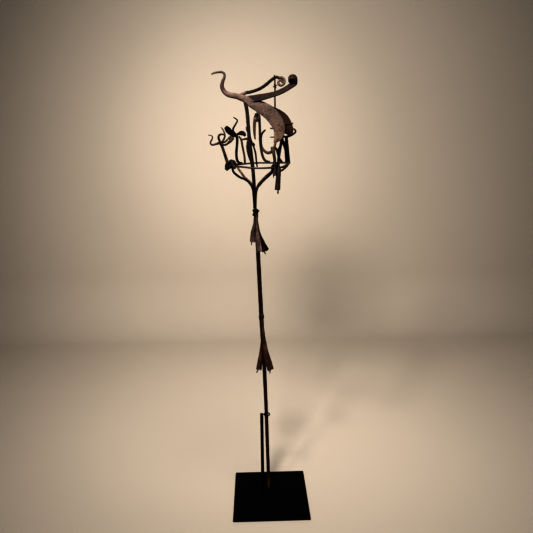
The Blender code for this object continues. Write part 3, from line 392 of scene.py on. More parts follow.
def title_of(node):
    """A piece's name, from its node's name."""
    return node.replace("_", " ").title().replace(" ", "")


def curve_through(stations, spacing):
    """Rows on a Catmull-Rom curve through the stations, about a spacing apart, in the stations' unit."""
    rows = np.array(stations, float)
    rows = np.vstack((2 * rows[0] - rows[1], rows, 2 * rows[-1] - rows[-2]))
    found = []
    for before, start, end, after in zip(rows, rows[1:], rows[2:], rows[3:]):
        steps = max(1, round(float(np.linalg.norm(end[:3] - start[:3])) / spacing))
        for step in range(steps):
            t = step / steps
            found.append(
                0.5 * (2 * start + (end - before) * t + (2 * before - 5 * start + 4 * end - after) * t**2
                       + (3 * start - before - 3 * end + after) * t**3)
            )
    found.append(rows[-2])
    return np.array(found)


def stroke(origin, stations, spacing=1.6, fuller=1.0, plus=0.0, thicker=0.0):
    """Rows in metres of a stroke whose stations are in millimetres from an origin.

    A station is its centre, its width and, where that is another, its thickness.
    fuller and plus make up for the corners that a round bar lacks beside a faceted one, and thicker adds to
    a strip's thickness alone.
    """
    rows = curve_through([(*row, row[3])[:5] for row in stations], spacing) * MM
    rows[:, :3] += np.array(origin)
    rows[:, 3:] = rows[:, 3:] * fuller + plus * MM
    rows[:, 4] += thicker * MM
    return rows


def section_places(rows, face=None, across=None, closed=False):
    """One matrix for each row, which puts a unit section in its place, turn and size.

    The width lies square to face, or along across, which may be one direction or one for each row.
    """
    points = [Vector(row[:3]) for row in rows]
    count = len(points)
    places = []
    wide = Vector((0.0, 0.0, 0.0))
    for index, (point, row) in enumerate(zip(points, rows)):
        ahead = points[(index + 1) % count] if closed else points[min(index + 1, count - 1)]
        behind = points[index - 1] if closed else points[max(index - 1, 0)]
        along = (ahead - behind).normalized()
        if face is not None:
            aim = face.cross(along) + STEADY_TURN * wide
        else:
            aim = across[index] if isinstance(across, list) else across
        wide = (aim - aim.dot(along) * along).normalized()
        thin = along.cross(wide)
        places.append(Matrix((
            (wide.x * row[3] / 2, thin.x * row[4] / 2, along.x, point.x),
            (wide.y * row[3] / 2, thin.y * row[4] / 2, along.y, point.y),
            (wide.z * row[3] / 2, thin.z * row[4] / 2, along.z, point.z),
            (0.0, 0.0, 0.0, 1.0)
        )))
    return places


def draw_along(mesh, ring, places):
    """Extrudes a section from place to place, and returns its rings, its first edges and its last ones."""
    edges = list(dict.fromkeys(edge for vertex in ring for edge in vertex.link_edges))
    first = edges
    bmesh.ops.transform(mesh, matrix=places[0], verts=ring)
    rings = [list(ring)]
    for before, now in zip(places, places[1:]):
        made = bmesh.ops.extrude_edge_only(mesh, edges=edges)["geom"]
        ring = [item for item in made if isinstance(item, bmesh.types.BMVert)]
        fresh = set(ring)
        edges = [
            item for item in made if isinstance(item, bmesh.types.BMEdge) and fresh.issuperset(item.verts)
        ]
        bmesh.ops.transform(mesh, matrix=now @ before.inverted(), verts=ring)
        rings.append(ring)
    return rings, first, edges


def draw_out(mesh, rows, sides, square=1.0, closed=False, **turn):
    """Draws a solid bar out of one section along the rows, and returns its rings and their places.

    square is 1 for a round section and below 1 for a squarer one.
    """
    places = section_places(rows, closed=closed, **turn)
    ring = bmesh.ops.create_circle(mesh, segments=sides, radius=1.0)["verts"]
    for vertex in ring:
        x, y = vertex.co.x, vertex.co.y
        vertex.co.x = math.copysign(abs(x) ** square, x)
        vertex.co.y = math.copysign(abs(y) ** square, y)
    rings, first, last = draw_along(mesh, ring, places)
    if closed:
        bmesh.ops.bridge_loops(mesh, edges=first + last)
    else:
        bmesh.ops.contextual_create(mesh, geom=first)
        bmesh.ops.contextual_create(mesh, geom=last)
    return rings, places


def dish(rings, places, rows, camber):
    """Bows a blade's sections by a share of their width."""
    for ring, place, row in zip(rings, places, rows):
        back = place.inverted()
        thin = place.col[1].to_3d().normalized()
        for vertex in ring:
            x = (back @ vertex.co).x
            vertex.co += thin * camber * row[3] * (1.0 - x * x)


def hammer_marks(name, kind, size, depth=2):
    """A pattern for the planished and pitted surface."""
    marks = bpy.data.textures.new(name, type=kind)
    marks.noise_scale = size
    if kind == "CLOUDS":
        marks.noise_depth = depth
    return marks


PLANISHED = hammer_marks("Planished", "VORONOI", 0.011)
UNEVEN = hammer_marks("Uneven", "CLOUDS", 0.030, 1)
PITTED = hammer_marks("Pitted", "CLOUDS", 0.0032, 2)
SCALED = hammer_marks("Scaled", "CLOUDS", 0.0090, 3)

# Each kind of skin: the size of its grain, and how deep each pattern goes
SKINS = {
    "shaft": (0.0015, ((UNEVEN, 0.0010), (PLANISHED, 0.0007), (PITTED, 0.0004))),
    "hoop": (0.0011, ((PLANISHED, 0.0006), (PITTED, 0.0004))),
    "arm": (0.0009, ((PLANISHED, 0.0005), (PITTED, 0.0004))),
    "top bird": (0.0013, ((PLANISHED, 0.0007), (SCALED, 0.0005), (PITTED, 0.0003))),
    "small bird": (0.00085, ((PLANISHED, 0.0005), (PITTED, 0.0003))),
    "clapper": (0.0006, ((PITTED, 0.0003),)),
    "winding": (0.00066, ((UNEVEN, 0.0014), (SCALED, 0.0007), (PITTED, 0.0004))),
    "tie wire": (0.0005, ((PITTED, 0.0003),)),
    "stand ring": (0.0006, ()),
}
SHEET_MARKS = ((UNEVEN, 0.0016), (PLANISHED, 0.0010), (PITTED, 0.0005))


def push(piece, marks):
    """Moves the surface in and out by patterns, each with its depth."""
    for pattern, depth in marks:
        modifier = piece.modifiers.new(pattern.name, "DISPLACE")
        modifier.texture = pattern
        modifier.texture_coords = "LOCAL"
        modifier.mid_level = VORONOI_MIDDLE if pattern.type == "VORONOI" else CLOUDS_MIDDLE
        modifier.strength = depth


def mean_of_neighbours(values, edges, count):
    """Mean of each vertex's neighbours, for one number or one vector a vertex."""
    total = np.zeros_like(values)
    np.add.at(total, edges[:, 0], values[edges[:, 1]])
    np.add.at(total, edges[:, 1], values[edges[:, 0]])
    number = np.bincount(edges.ravel(), minlength=count).astype(float)
    number[number == 0] = 1.0
    return total / (number[:, None] if values.ndim > 1 else number)


def read_rows(items, key, width, kind=float):
    """The values of an attribute of a mesh's items, one row for each item."""
    values = np.zeros(len(items) * width, dtype=kind)
    items.foreach_get(key, values)
    return values.reshape(-1, width)


def note_wear(data):
    """Stores how far each place stands proud of its surroundings, as the attribute wear."""
    count = len(data.vertices)
    places = read_rows(data.vertices, "co", 3)
    normals = read_rows(data.vertices, "normal", 3)
    edges = read_rows(data.edges, "vertices", 2, np.int64)
    around = places
    for _ in range(WEAR_ROUNDS):
        around = mean_of_neighbours(around, edges, count)
    proud = ((places - around) * normals).sum(axis=1) / WEAR_DEPTH
    proud = mean_of_neighbours(proud, edges, count)
    stored = data.attributes.new("wear", "FLOAT", "POINT")
    stored.data.foreach_set("value", np.clip(0.5 + 0.5 * proud, 0.0, 1.0).astype(np.float32))


def raw_piece(mesh, name):
    """An object from a bmesh, with its faces turned outwards."""
    bmesh.ops.recalc_face_normals(mesh, faces=mesh.faces[:])
    data = bpy.data.meshes.new(name)
    mesh.to_mesh(data)
    mesh.free()
    piece = bpy.data.objects.new(name, data)
    bpy.context.scene.collection.objects.link(piece)
    bpy.context.view_layer.update()
    return piece


def stands_for(piece, node, finish):
    """Dresses a finished piece and lets it stand for its node."""
    piece.data.materials.clear()
    piece.data.materials.append(finish)
    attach(piece, "root")
    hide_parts(node)


def settle(piece, node, finish):
    """Applies a piece's modifiers, notes its wear, names it and lets it stand for its node."""
    evaluated = piece.evaluated_get(bpy.context.evaluated_depsgraph_get())
    data = bpy.data.meshes.new_from_object(evaluated)
    bpy.data.objects.remove(piece)
    data.name = title_of(node)
    data.shade_smooth()
    note_wear(data)
    made = bpy.data.objects.new(title_of(node), data)
    bpy.context.scene.collection.objects.link(made)
    stands_for(made, node, finish)


def forged(mesh, node, skin, finish):
    """Welds overlapping bars into one skin, smooths and marks it, and lets it stand for its node."""
    grain, marks = SKINS[skin]
    piece = raw_piece(mesh, title_of(node) + ".raw")
    weld = piece.modifiers.new("Weld", "REMESH")
    weld.mode = "VOXEL"
    weld.voxel_size = grain
    ease = piece.modifiers.new("Ease", "SMOOTH")
    ease.factor = 0.5
    ease.iterations = 2
    push(piece, marks)
    settle(piece, node, finish)


# Materials

class Channel:
    """A shader value that takes part in sums."""

    def __init__(self, finish, socket):
        self.finish = finish
        self.socket = socket

    def sum(self, operation, first, second):
        """One Math node on two values."""
        return self.finish.node("ShaderNodeMath", {"operation": operation}, {0: first, 1: second})

    def __add__(self, other):
        return self.sum("ADD", self, other)

    __radd__ = __add__

    def __mul__(self, other):
        return self.sum("MULTIPLY", self, other)

    __rmul__ = __mul__

    def __sub__(self, other):
        return self.sum("SUBTRACT", self, other)

    def __rsub__(self, other):
        return self.sum("SUBTRACT", other, self)


class Finish:
    """A material under construction, with one method that makes nodes."""

    def __init__(self, name):
        self.material = bpy.data.materials.new(name)
        self.material.use_nodes = True
        self.tree = self.material.node_tree
        self.shader = self.tree.nodes["Principled BSDF"]
        self.place = self.node("ShaderNodeTexCoord", output="Object")

    def node(self, kind, settings=None, values=None, output=0):
        """Makes a node, sets it, feeds its sockets and returns one output."""
        made = self.tree.nodes.new(kind)
        for key, value in (settings or {}).items():
            setattr(made, key, value)
        for key, value in (values or {}).items():
            self.feed(made.inputs[key], value)
        return Channel(self, made.outputs[output])

    def feed(self, socket, value):
        """Gives a socket a link or a plain value."""
        if isinstance(value, Channel):
            self.tree.links.new(value.socket, socket)
        else:
            socket.default_value = value

    def dress(self, **values):
        """Feeds the shader's sockets, named with _ for a space, and returns the material."""
        for key, value in values.items():
            self.feed(self.shader.inputs[key.replace("_", " ")], value)
        return self.material

    def noise(self, scale, detail=4.0, roughness=0.55):
        """A noise pattern on the object's own coordinates."""
        return self.node(
            "ShaderNodeTexNoise", None,
            {"Vector": self.place, "Scale": scale, "Detail": detail, "Roughness": roughness}, output="Fac"
        )

    def between(self, value, low, high):
        """Nought below low, one above high, and a smooth step between."""
        return self.node(
            "ShaderNodeMapRange", {"interpolation_type": "SMOOTHSTEP", "clamp": True},
            {"Value": value, "From Min": low, "From Max": high}
        )

    def slope(self, value, low, high, at_low, at_high):
        """A straight run from at_low to at_high, while a value goes from low to high."""
        return self.node("ShaderNodeMapRange", {"clamp": True}, {
            "Value": value, "From Min": low, "From Max": high, "To Min": at_low, "To Max": at_high
        })

    def blend(self, factor, low, high, kind="MIX"):
        """Mixes or multiplies two colours, each a plain colour or a channel."""
        low, high = (value if isinstance(value, Channel) else (*value, 1.0) for value in (low, high))
        return self.node(
            "ShaderNodeMix", {"data_type": "RGBA", "blend_type": kind},
            {0: factor, 6: low, 7: high}, output=2
        )

    def bump(self, height, distance, strength):
        """A fine relief for the Normal socket."""
        values = {"Height": height, "Distance": distance, "Strength": strength}
        return self.node("ShaderNodeBump", None, values)

    def axes(self, vector=None):
        """The X, Y and Z of a vector, or of a place on the piece."""
        split = self.node("ShaderNodeSeparateXYZ", None, {0: vector or self.place})
        return tuple(Channel(self, axis) for axis in split.socket.node.outputs)


def iron(name, dark, brown, dust, browned=0.5, dusty=0.5, shine=0.25, colour_masks=None):
    """Old forged iron: a dark skin, browned in clouds, with pale dust and rub on what stands proud, and
    painted shade on faces turned down.

    colour_masks takes the finish and returns pairs of a place's mask and the share of its colour that is
    left; some of these are painted shade and painted light.
    """
    finish = Finish(name)
    between = finish.between
    clouds = finish.noise(26.0, 5.0, 0.6)
    mottle = finish.noise(190.0, 3.0, 0.65)
    specks = finish.noise(560.0, 2.0, 0.5)
    wear = finish.node("ShaderNodeAttribute", {"attribute_name": "wear"}, output="Fac")
    tilt = finish.axes(finish.node("ShaderNodeNewGeometry", output="Normal"))[2]
    rusted = between(clouds + 0.55 * mottle, 1.00 - 0.5 * browned, 1.24 - 0.5 * browned)
    pale = between(mottle + 0.6 * specks + 0.16 * tilt, 1.07 - 0.45 * dusty, 1.27 - 0.45 * dusty)
    proud = between(wear + 0.25 * mottle, 0.74, 0.94)
    hollow = between(wear + 0.2 * clouds, 0.62, 0.42)
    # Painted shade: faces turned down are darkened as if the lamps above leave them in shade
    underside_shade = between(tilt, -0.45, -0.80)
    colour = finish.blend(pale, finish.blend(rusted, dark, brown), dust)
    colour = finish.blend(proud * 0.5, colour, dust)
    colour = finish.blend(hollow * 0.7, colour, dark)
    for place, left in ((underside_shade, UNDERSIDE_SHADE_LEFT), *(colour_masks(finish) if colour_masks else ())):
        colour = finish.blend(place, colour, left, "MULTIPLY")
    return finish.dress(
        Base_Color=colour, Metallic=shine + 0.25 * proud, Roughness=0.62 + 0.16 * rusted - 0.20 * proud,
        Specular_IOR_Level=SKIN_REFLECTION, Normal=finish.bump(mottle + 0.5 * specks, 0.0007, 0.9)
    )


def top_bird_painted_shade_and_light(finish):
    """The top bird's tones: painted shade on its wings, on the far wing past its left end and on the far
    tail blade behind the near one; painted light inside the near scroll; its neck darker at the front, its
    blade darker in the middle and paler low down.
    """
    x, y, z = finish.axes()
    between = finish.between
    top = shaft_at(TOP_HEIGHT)
    above = between(z - finish.slope(x, top.x, top.x + 0.034, top.z + 0.027, top.z - 0.001), -0.003, 0.004)
    wings = above * between(x, top.x - 0.006, top.x + 0.010)
    far_wing = between(y, 0.052, 0.062) * between(x, top.x + 0.004, top.x + 0.020)
    far_scroll = between(y, 0.080, 0.088) * between(x, 0.030, 0.044)
    near_scroll = between(y, 0.010, 0.000) * between(x, top.x + 0.138, top.x + 0.150)
    behind = between(y, 0.050, 0.054) * between(x, -0.055, -0.035) * (1.0 - above)
    neck = between(z, top.z + 0.026, top.z + 0.056) * between(x, top.x - 0.026, top.x - 0.040)
    blade = between(z, top.z - 0.004, top.z - 0.030) * between(z, top.z - 0.122, top.z - 0.092)
    lower = between(z, top.z - 0.060, top.z - 0.100) * (1.0 - behind)
    # Painted shade on the wings and the far wing, painted light in the near scroll's hollow, painted shadow
    # of the near blade on the far blade
    return (
        (wings * (1.0 - 0.7 * far_scroll), (0.225, 0.205, 0.205)),
        (above * far_wing * (1.0 - far_scroll), (0.55, 0.50, 0.45)),
        (near_scroll, (1.25, 1.12, 1.06)),
        (behind, (0.48, 0.36, 0.27)),
        (neck, (0.42, 0.41, 0.42)),
        (blade * (1.0 - behind), (0.76, 0.75, 0.76)),
        (lower, (1.26, 1.20, 1.06))
    )


def brown_bird_tones_and_painted_light(finish):
    """The two brown birds: blacker near the hoop and on the near one's neck, with painted light on the far
    one's head where the top bird's shadow falls on it.
    """
    x, y, z = finish.axes()
    between = finish.between
    hoop = HOOP_HEIGHT
    far = between(y, 0.03, 0.06)
    near = 1.0 - far
    # Painted light: lifts the top bird's shadow off the far bird's head
    head = far * between(z, hoop + 0.162, hoop + 0.170) * between(x, -0.045, -0.041)
    far_stem = far * between(z, hoop + 0.165, hoop + 0.050) * between(x, -0.043, -0.039)
    neck = near * between(x, 0.012, 0.000) * between(z, hoop + 0.044, hoop + 0.066)
    near_stem = near * between(x, 0.010, 0.018) * between(z, hoop + 0.052, hoop + 0.024)
    return (
        (head, (5.5, 5.8, 6.6)), (far_stem, (0.45, 0.45, 0.50)), (neck, (0.14, 0.15, 0.17)),
        (near_stem, (0.30, 0.30, 0.32)), (near, (0.80, 0.78, 0.74))
    )


def lit_tail(finish):
    """The first bird's pale tail tip."""
    x, y, z = finish.axes()
    tip = finish.between(x, -0.136, -0.130) * finish.between(z, HOOP_HEIGHT + 0.056, HOOP_HEIGHT + 0.066)
    return ((tip * finish.between(y, 0.034, 0.028), (2.0, 1.9, 1.85)),)


def shaft_rust_and_painted_light(finish):
    """The shaft's redder rust and painted light below its thin neck, where the lamps barely reach, most of
    all at its foot; the thin neck itself kept darker.
    """
    z = finish.axes()[2]
    below = finish.between(z, UPPER_BELLS_HEIGHT + 0.004, UPPER_BELLS_HEIGHT - 0.030)
    neck = finish.between(z, HOOP_HEIGHT, FORK_HEIGHT) * (1.0 - below)
    foot = finish.between(z, 0.085, 0.045)
    # below and foot are redder rust and painted light together
    return (below, (2.5, 1.45, 1.30)), (neck, (0.42, 0.38, 0.40)), (foot, (4.5, 4.0, 3.6))


def darker_arm_feet(finish):
    """The arms' blacker feet in the bundle."""
    z = finish.axes()[2]
    return ((finish.between(z, FORK_HEIGHT + 0.050, FORK_HEIGHT + 0.006), (0.20, 0.18, 0.19)),)


def bell_painted_shade(finish):
    """Painted shade on the right side of the upper right bell, the side turned from the lamps, with a ragged
    edge.
    """
    x, _, z = finish.axes()
    hang = shaft_at(UPPER_BELLS_HEIGHT)
    middle = finish.slope(z, hang.z - 0.147, hang.z - 0.060, hang.x + 0.024, hang.x + 0.008)
    ragged = 0.004 * finish.noise(160.0)
    # Painted shade: the bell's right half, turned from the lamps, is darkened
    return ((finish.between(x - middle + ragged, 0.001, 0.003), (0.085, 0.075, 0.072)),)


def satin_black(name):
    """Satin black paint on steel, with faint mottling and a little dust."""
    finish = Finish(name)
    mottle = finish.noise(90.0, 4.0)
    dust = finish.between(finish.noise(14.0, 6.0, 0.7), 0.55, 0.78)
    return finish.dress(
        Base_Color=finish.blend(dust * 0.2, (0.0055, 0.0054, 0.0054), (0.016, 0.0155, 0.015)),
        Roughness=0.50 + 0.10 * mottle + 0.10 * dust, Specular_IOR_Level=0.02,
        Normal=finish.bump(finish.noise(420.0, 2.0), 0.00012, 0.5)
    )


def backdrop_paper(name):
    """Plain pale backdrop with the least mottling."""
    finish = Finish(name)
    soft = finish.noise(1.6, 3.0)
    return finish.dress(
        Base_Color=finish.blend(soft, (0.627, 0.591, 0.554), (0.645, 0.609, 0.570)),
        Roughness=0.9 + 0.05 * soft
    )


# Irons: dark skin, brown rust and dust, how browned, dusty and shiny, and the masks that darken or lighten
# them in places, painted shade and painted light among them
TOP_BIRD_IRON = iron(
    "Top bird iron", (0.050, 0.038, 0.034), (0.090, 0.069, 0.062), (0.140, 0.112, 0.102), 0.85, 0.50, 0.12,
    top_bird_painted_shade_and_light
)
BIRD_IRON = iron(
    "Bird iron", (0.0024, 0.0021, 0.0021), (0.0075, 0.0054, 0.0047), (0.018, 0.0145, 0.013), 0.25, 0.05, 0.20
)
STEM_IRON = iron(
    "Stem iron", (0.013, 0.0088, 0.0078), (0.056, 0.034, 0.026), (0.088, 0.066, 0.056), 0.60, 0.20, 0.20,
    lit_tail
)
BROWN_BIRD_IRON = iron(
    "Brown bird iron", (0.036, 0.025, 0.020), (0.072, 0.050, 0.038), (0.092, 0.070, 0.056), 0.9, 0.45, 0.15,
    brown_bird_tones_and_painted_light
)
SHAFT_IRON = iron(
    "Shaft iron", (0.0098, 0.0064, 0.0058), (0.021, 0.0135, 0.0114), (0.048, 0.037, 0.033), 0.45, 0.10, 0.30,
    shaft_rust_and_painted_light
)
# Painted light: a paler copy of the arms' iron, so the front right and back left arms look lit where the
# hoop's shadow falls
ARM_IRON_PAINTED_LIGHT = iron(
    "Arm iron with painted light", (0.050, 0.035, 0.030), (0.130, 0.090, 0.075), (0.180, 0.142, 0.124), 0.65, 0.30, 0.20,
    darker_arm_feet
)
ROD_IRON = iron(
    "Rod iron", (0.021, 0.0160, 0.0145), (0.044, 0.035, 0.031), (0.068, 0.056, 0.051), 0.70, 0.35, 0.25
)
BELL_IRON = iron(
    "Bell iron", (0.023, 0.0170, 0.0150), (0.050, 0.037, 0.032), (0.080, 0.066, 0.060), 0.55, 0.20, 0.25
)
# Upper bells' iron, with painted shade on the right bell's right half
SHADED_BELL_IRON = iron(
    "Bell iron with painted shade", (0.046, 0.034, 0.030), (0.104, 0.075, 0.064), (0.160, 0.130, 0.115), 0.60, 0.25, 0.20,
    bell_painted_shade
)
RUST_BELL_IRON = iron(
    "Rusted bell iron", (0.062, 0.029, 0.0205), (0.135, 0.070, 0.046), (0.200, 0.122, 0.088),
    0.60, 0.20, 0.20
)
WIRE_IRON = iron(
    "Wire iron", (0.0050, 0.0042, 0.0041), (0.018, 0.0132, 0.0116), (0.066, 0.052, 0.047), 0.35, 0.16, 0.25
)
STAND_PAINT = satin_black("Stand paint")


# Forged pieces

def shaft_piece():
    """The long bar, drawn down at the fork, with the leaf that is drawn out of it above the hoop."""
    mesh = bmesh.new()
    rows = []
    for height, place, wide in SHAFT_STATIONS:
        wide += ROD_FULLER if height > FORK_HEIGHT else SHAFT_FULLER
        rows.append((place, STAFF_SETBACK, height, wide, wide))
    draw_out(mesh, curve_through(rows, SHAFT_SPACING), 16, 0.82, across=SIDEWAYS)
    leaf = stroke(shaft_at(HOOP_HEIGHT + LEAF_RISE), LEAF, fuller=1.25, plus=0.5)
    draw_out(mesh, leaf, 18, 0.9, face=AWAY)
    forged(mesh, "shaft", "shaft", SHAFT_IRON)


def hoop_piece():
    """The hoop of flat strip with its rivet."""
    rows = []
    across = []
    for angle in range(360):
        turn = math.radians(angle)
        roll = math.radians(HOOP_TWIST * math.exp(-((angle - HOOP_TWIST_AT) / HOOP_TWIST_SPREAD) ** 2))
        outward = Vector((math.cos(turn), math.sin(turn), 0.0))
        across.append(outward * math.cos(roll) + UP * math.sin(roll))
        rows.append((*hoop_at(angle), *HOOP_STRIP))
    mesh = bmesh.new()
    draw_out(mesh, rows, 16, 0.45, closed=True, across=across)
    rivet = Matrix.Translation(hoop_at(RIVET_AT)) @ Matrix.Diagonal((*RIVET_RADII, 1.0))
    bmesh.ops.create_uvsphere(mesh, u_segments=16, v_segments=10, radius=1.0, matrix=rivet)
    forged(mesh, "hoop", "hoop", ROD_IRON)


def arm_piece(name):
    """One rod of the bundle, from under the upper binding to under the hoop."""
    hoop_angle, side, depth, thicker, free = ARMS[name]
    fork = np.array(shaft_at(FORK_HEIGHT)) / MM
    stations = [(side * off, depth * off, height, ARM_DIAMETER * share) for off, height, share in ARM_BUNDLE]
    for index, point in enumerate(free):
        now = ARM_DIAMETER * (1.0 + (thicker - 1.0) * min(1.0, (index + 1) / 3.0))
        stations.append((*point, now))
    end = np.array(hoop_at(hoop_angle)) / MM - (0.0, 0.0, ARM_BELOW_HOOP) - fork
    stations.append((*end, ARM_DIAMETER * thicker))
    mesh = bmesh.new()
    rows = stroke(fork * MM, stations, fuller=1.06, plus=1.4 if name == "arm_front_left" else 0.7)
    draw_out(mesh, rows, 14, 0.9, across=ARM_ACROSS)
    # The front left arm takes the dark shaft iron, the back right the rod iron, the others the paler iron
    # with painted light
    forged(mesh, name, "arm", {"arm_front_left": SHAFT_IRON, "arm_back_right": ROD_IRON}.get(name, ARM_IRON_PAINTED_LIGHT))


def scroll(centre, start, turn, radii, up, size):
    """Stations of a scroll in the plane of +X and up, from an outer to an inner radius."""
    found = []
    for step in range(SCROLL_STEPS + 1):
        share = step / SCROLL_STEPS
        angle = math.radians(start + turn * share)
        radius = radii[0] + (radii[1] - radii[0]) * share
        point = Vector(centre) + radius * (math.cos(angle) * SIDEWAYS + math.sin(angle) * up)
        found.append((*point, size[0] * (1.0 - 0.45 * share), size[1] * (1.0 - 0.35 * share)))
    return tuple(found)


def top_bird_piece():
    """The bird on top: neck and body, two drooping tail blades, two scrolled wings."""
    top = shaft_at(TOP_HEIGHT)
    mesh = bmesh.new()
    draw_out(mesh, stroke(top, BIRD_NECK, plus=1.7), 20, face=AWAY)
    for blade, camber in ((BIRD_NEAR_TAIL, -0.05), (BIRD_FAR_TAIL, 0.04)):
        rows = stroke(top, blade, 2.0, plus=1.4)
        dish(*draw_out(mesh, rows, 32, 0.55, face=AWAY), rows, camber)
    far = BIRD_FAR_WING + scroll((134, 53, 76), 115, -500, (17, 3.6), UP, (18, 4.2))
    draw_out(mesh, stroke(top, far, plus=1.6, thicker=2.6), 20, 0.45, across=AWAY)
    near = BIRD_NEAR_WING + scroll((167, -61, 65), -48, 400, (17, 4), NEAR_WING_UP, (23, 5.6))
    rows = stroke(top, near, plus=2.3)
    across = []
    for row in rows:
        turned = (row[0] - top.x - NEAR_WING_TURNS_FROM) / NEAR_WING_TURNS_OVER
        across.append(UP.lerp(NEAR_WING_ACROSS, min(1.0, max(0.0, turned))))
    draw_out(mesh, rows, 20, 0.45, across=across)
    forged(mesh, "crowning_bird", "top bird", TOP_BIRD_IRON)


def small_bird_piece(number, angle, strokes):
    """A small bird on its stem."""
    mesh = bmesh.new()
    plus = BIRD_PLUS.get(number, 1.1)
    for stations in strokes:
        draw_out(mesh, stroke(hoop_at(angle), stations, 1.2, fuller=1.14, plus=plus), 12, 0.9, face=AWAY)
    finish = {1: STEM_IRON, 3: STEM_IRON, 5: BROWN_BIRD_IRON, 10: BROWN_BIRD_IRON}.get(number, BIRD_IRON)
    forged(mesh, f"ring_bird_{number}", "small bird", finish)


def lapped_ring(mesh, seam):
    """An open ring that starts at the seam's angle and laps over itself."""
    ring = bmesh.ops.create_circle(mesh, segments=BELL_SIDES, radius=1.0)["verts"]
    order = sorted(ring, key=lambda vertex: math.atan2(vertex.co.y, vertex.co.x) % (2 * math.pi))
    bmesh.ops.delete(mesh, geom=[mesh.edges.get((order[0], order[-1]))], context="EDGES_FACES")
    for index, vertex in enumerate(order):
        share = index / (BELL_SIDES - 1)
        turn = math.radians(seam - share * (360.0 + BELL_LAP))
        radius = 1.0 - BELL_LAP_STEP + BELL_LAP_STEP * min(1.0, 1.6 * share)
        vertex.co = (radius * math.cos(turn), radius * math.sin(turn), 0.0)
    return order


def tear_mouth(rings, places, mouth, phase):
    """Makes a bell ragged towards its mouth, in three waves round it."""
    along = places[-1].col[2].to_3d().normalized()
    steps = [(after.translation - before.translation).length for before, after in zip(places, places[1:])]
    for index, ring in enumerate(rings):
        share = max(0.0, 1.0 - sum(steps[index:]) / (TEAR_REACH * mouth)) ** 2
        back = places[index].inverted()
        for vertex in ring if share else ():
            local = back @ vertex.co
            turn = math.atan2(local.y, local.x)
            wave = (
                0.5 * math.sin(3 * turn + phase) + 0.35 * math.sin(7 * turn + 2 * phase)
                + 0.25 * math.sin(13 * turn + 3 * phase)
            )
            vertex.co += along * (share * TEAR_DEPTH * mouth * (wave - 0.4))


def bell_piece(name):
    """A bell rolled from hammered sheet, lapped at its seam, and the clapper inside it."""
    origin, across, stations, clapper = BELLS[name]
    rows = stroke(origin, stations, 1.2, plus=2.2 if name == "hoop_bell_long" else 0.8)
    places = section_places(rows, across=across)
    mesh = bmesh.new()
    rings = draw_along(mesh, lapped_ring(mesh, BELL_SEAMS[name]), places)[0]
    tear_mouth(rings, places, float(rows[-1][3]), 1.3 * len(name) + 7.0 * origin.x / 0.03)
    bell = raw_piece(mesh, name + ".raw")
    wall = bell.modifiers.new("Wall", "SOLIDIFY")
    wall.thickness = BELL_WALL
    wall.offset = -1.0
    push(bell, SHEET_MARKS)
    finish = {
        "bell_upper_right": SHADED_BELL_IRON, "bell_upper_left": SHADED_BELL_IRON, "hoop_bell_left": WIRE_IRON,
        "bell_lower_right": RUST_BELL_IRON, "bell_lower_left": RUST_BELL_IRON
    }.get(name, BELL_IRON)
    settle(bell, name, finish)
    mesh = bmesh.new()
    draw_out(mesh, stroke(origin, clapper, 1.2, plus=1.0), 10, across=across)
    forged(mesh, name.replace("bell", "clapper"), "clapper", WIRE_IRON)


def winding(mesh, origin, stations, across, pitch, lean):
    """Wire wound round a bundle, on sections that swell and sway along it as the stations say."""
    path = stroke(origin, stations, 0.4)
    points = [Vector(row[:3]) for row in path]
    axis = (points[-1] - points[0]).normalized()
    wide = (across - across.dot(axis) * axis).normalized()
    deep = axis.cross(wide)
    turns = (points[-1] - points[0]).length / (BINDING_WIRE * pitch)
    steps = int(turns * 28)
    rows = []
    for step in range(steps + 1):
        share = step / steps
        turn = 2 * math.pi * turns * share
        here = share * (len(path) - 1)
        low = min(int(here), len(path) - 2)
        row = path[low] + (path[low + 1] - path[low]) * (here - low)
        out = 0.5 * (
            math.cos(turn) * wide * (row[3] - BINDING_WIRE) + math.sin(turn) * deep * (row[4] - BINDING_WIRE)
        )
        sway = axis * BINDING_WIRE * (lean * math.sin(turn + 1.0) + 0.25 * math.sin(2.3 * turn))
        rows.append((*(Vector(row[:3]) + sway + out), BINDING_WIRE, BINDING_WIRE))
    draw_out(mesh, rows, 10, across=axis)


def binding_piece(name, origin, stations, across, ends=(), finish=WIRE_IRON):
    """One binding: two crossing layers of wire with their twisted-off ends."""
    mesh = bmesh.new()
    winding(mesh, origin, stations, across, 1.15, 0.5)
    under = tuple((*row[:3], row[3] - 1.6, row[4] - 1.6) for row in reversed(stations))
    winding(mesh, origin, under, across, 0.95, -0.4)
    for end in ends:
        draw_out(mesh, stroke(origin, end, 0.8), 10, across=AWAY)
    forged(mesh, name, "winding", finish)


def bindings():
    """Wire windings on the shaft and where two arms meet the hoop."""
    binding_piece("binding_upper", shaft_at(UPPER_BELLS_HEIGHT), UPPER_WINDING, SIDEWAYS, UPPER_ENDS)
    binding_piece("binding_lower", shaft_at(LOWER_BELLS_HEIGHT), LOWER_WINDING, SIDEWAYS, finish=SHAFT_IRON)
    for name, (angles, size, raised, ends) in HOOP_BINDINGS.items():
        start, end = (hoop_at(angle) for angle in angles)
        middle = (start + end) / 2
        rows = []
        for share, swell in HOOP_BINDING_SWELL:
            point = (start + (end - start) * share + UP * raised * MM - middle) / MM
            rows.append((*point, size[0] * swell, size[1] * swell))
        binding_piece(name, middle, tuple(rows), UP, ends)


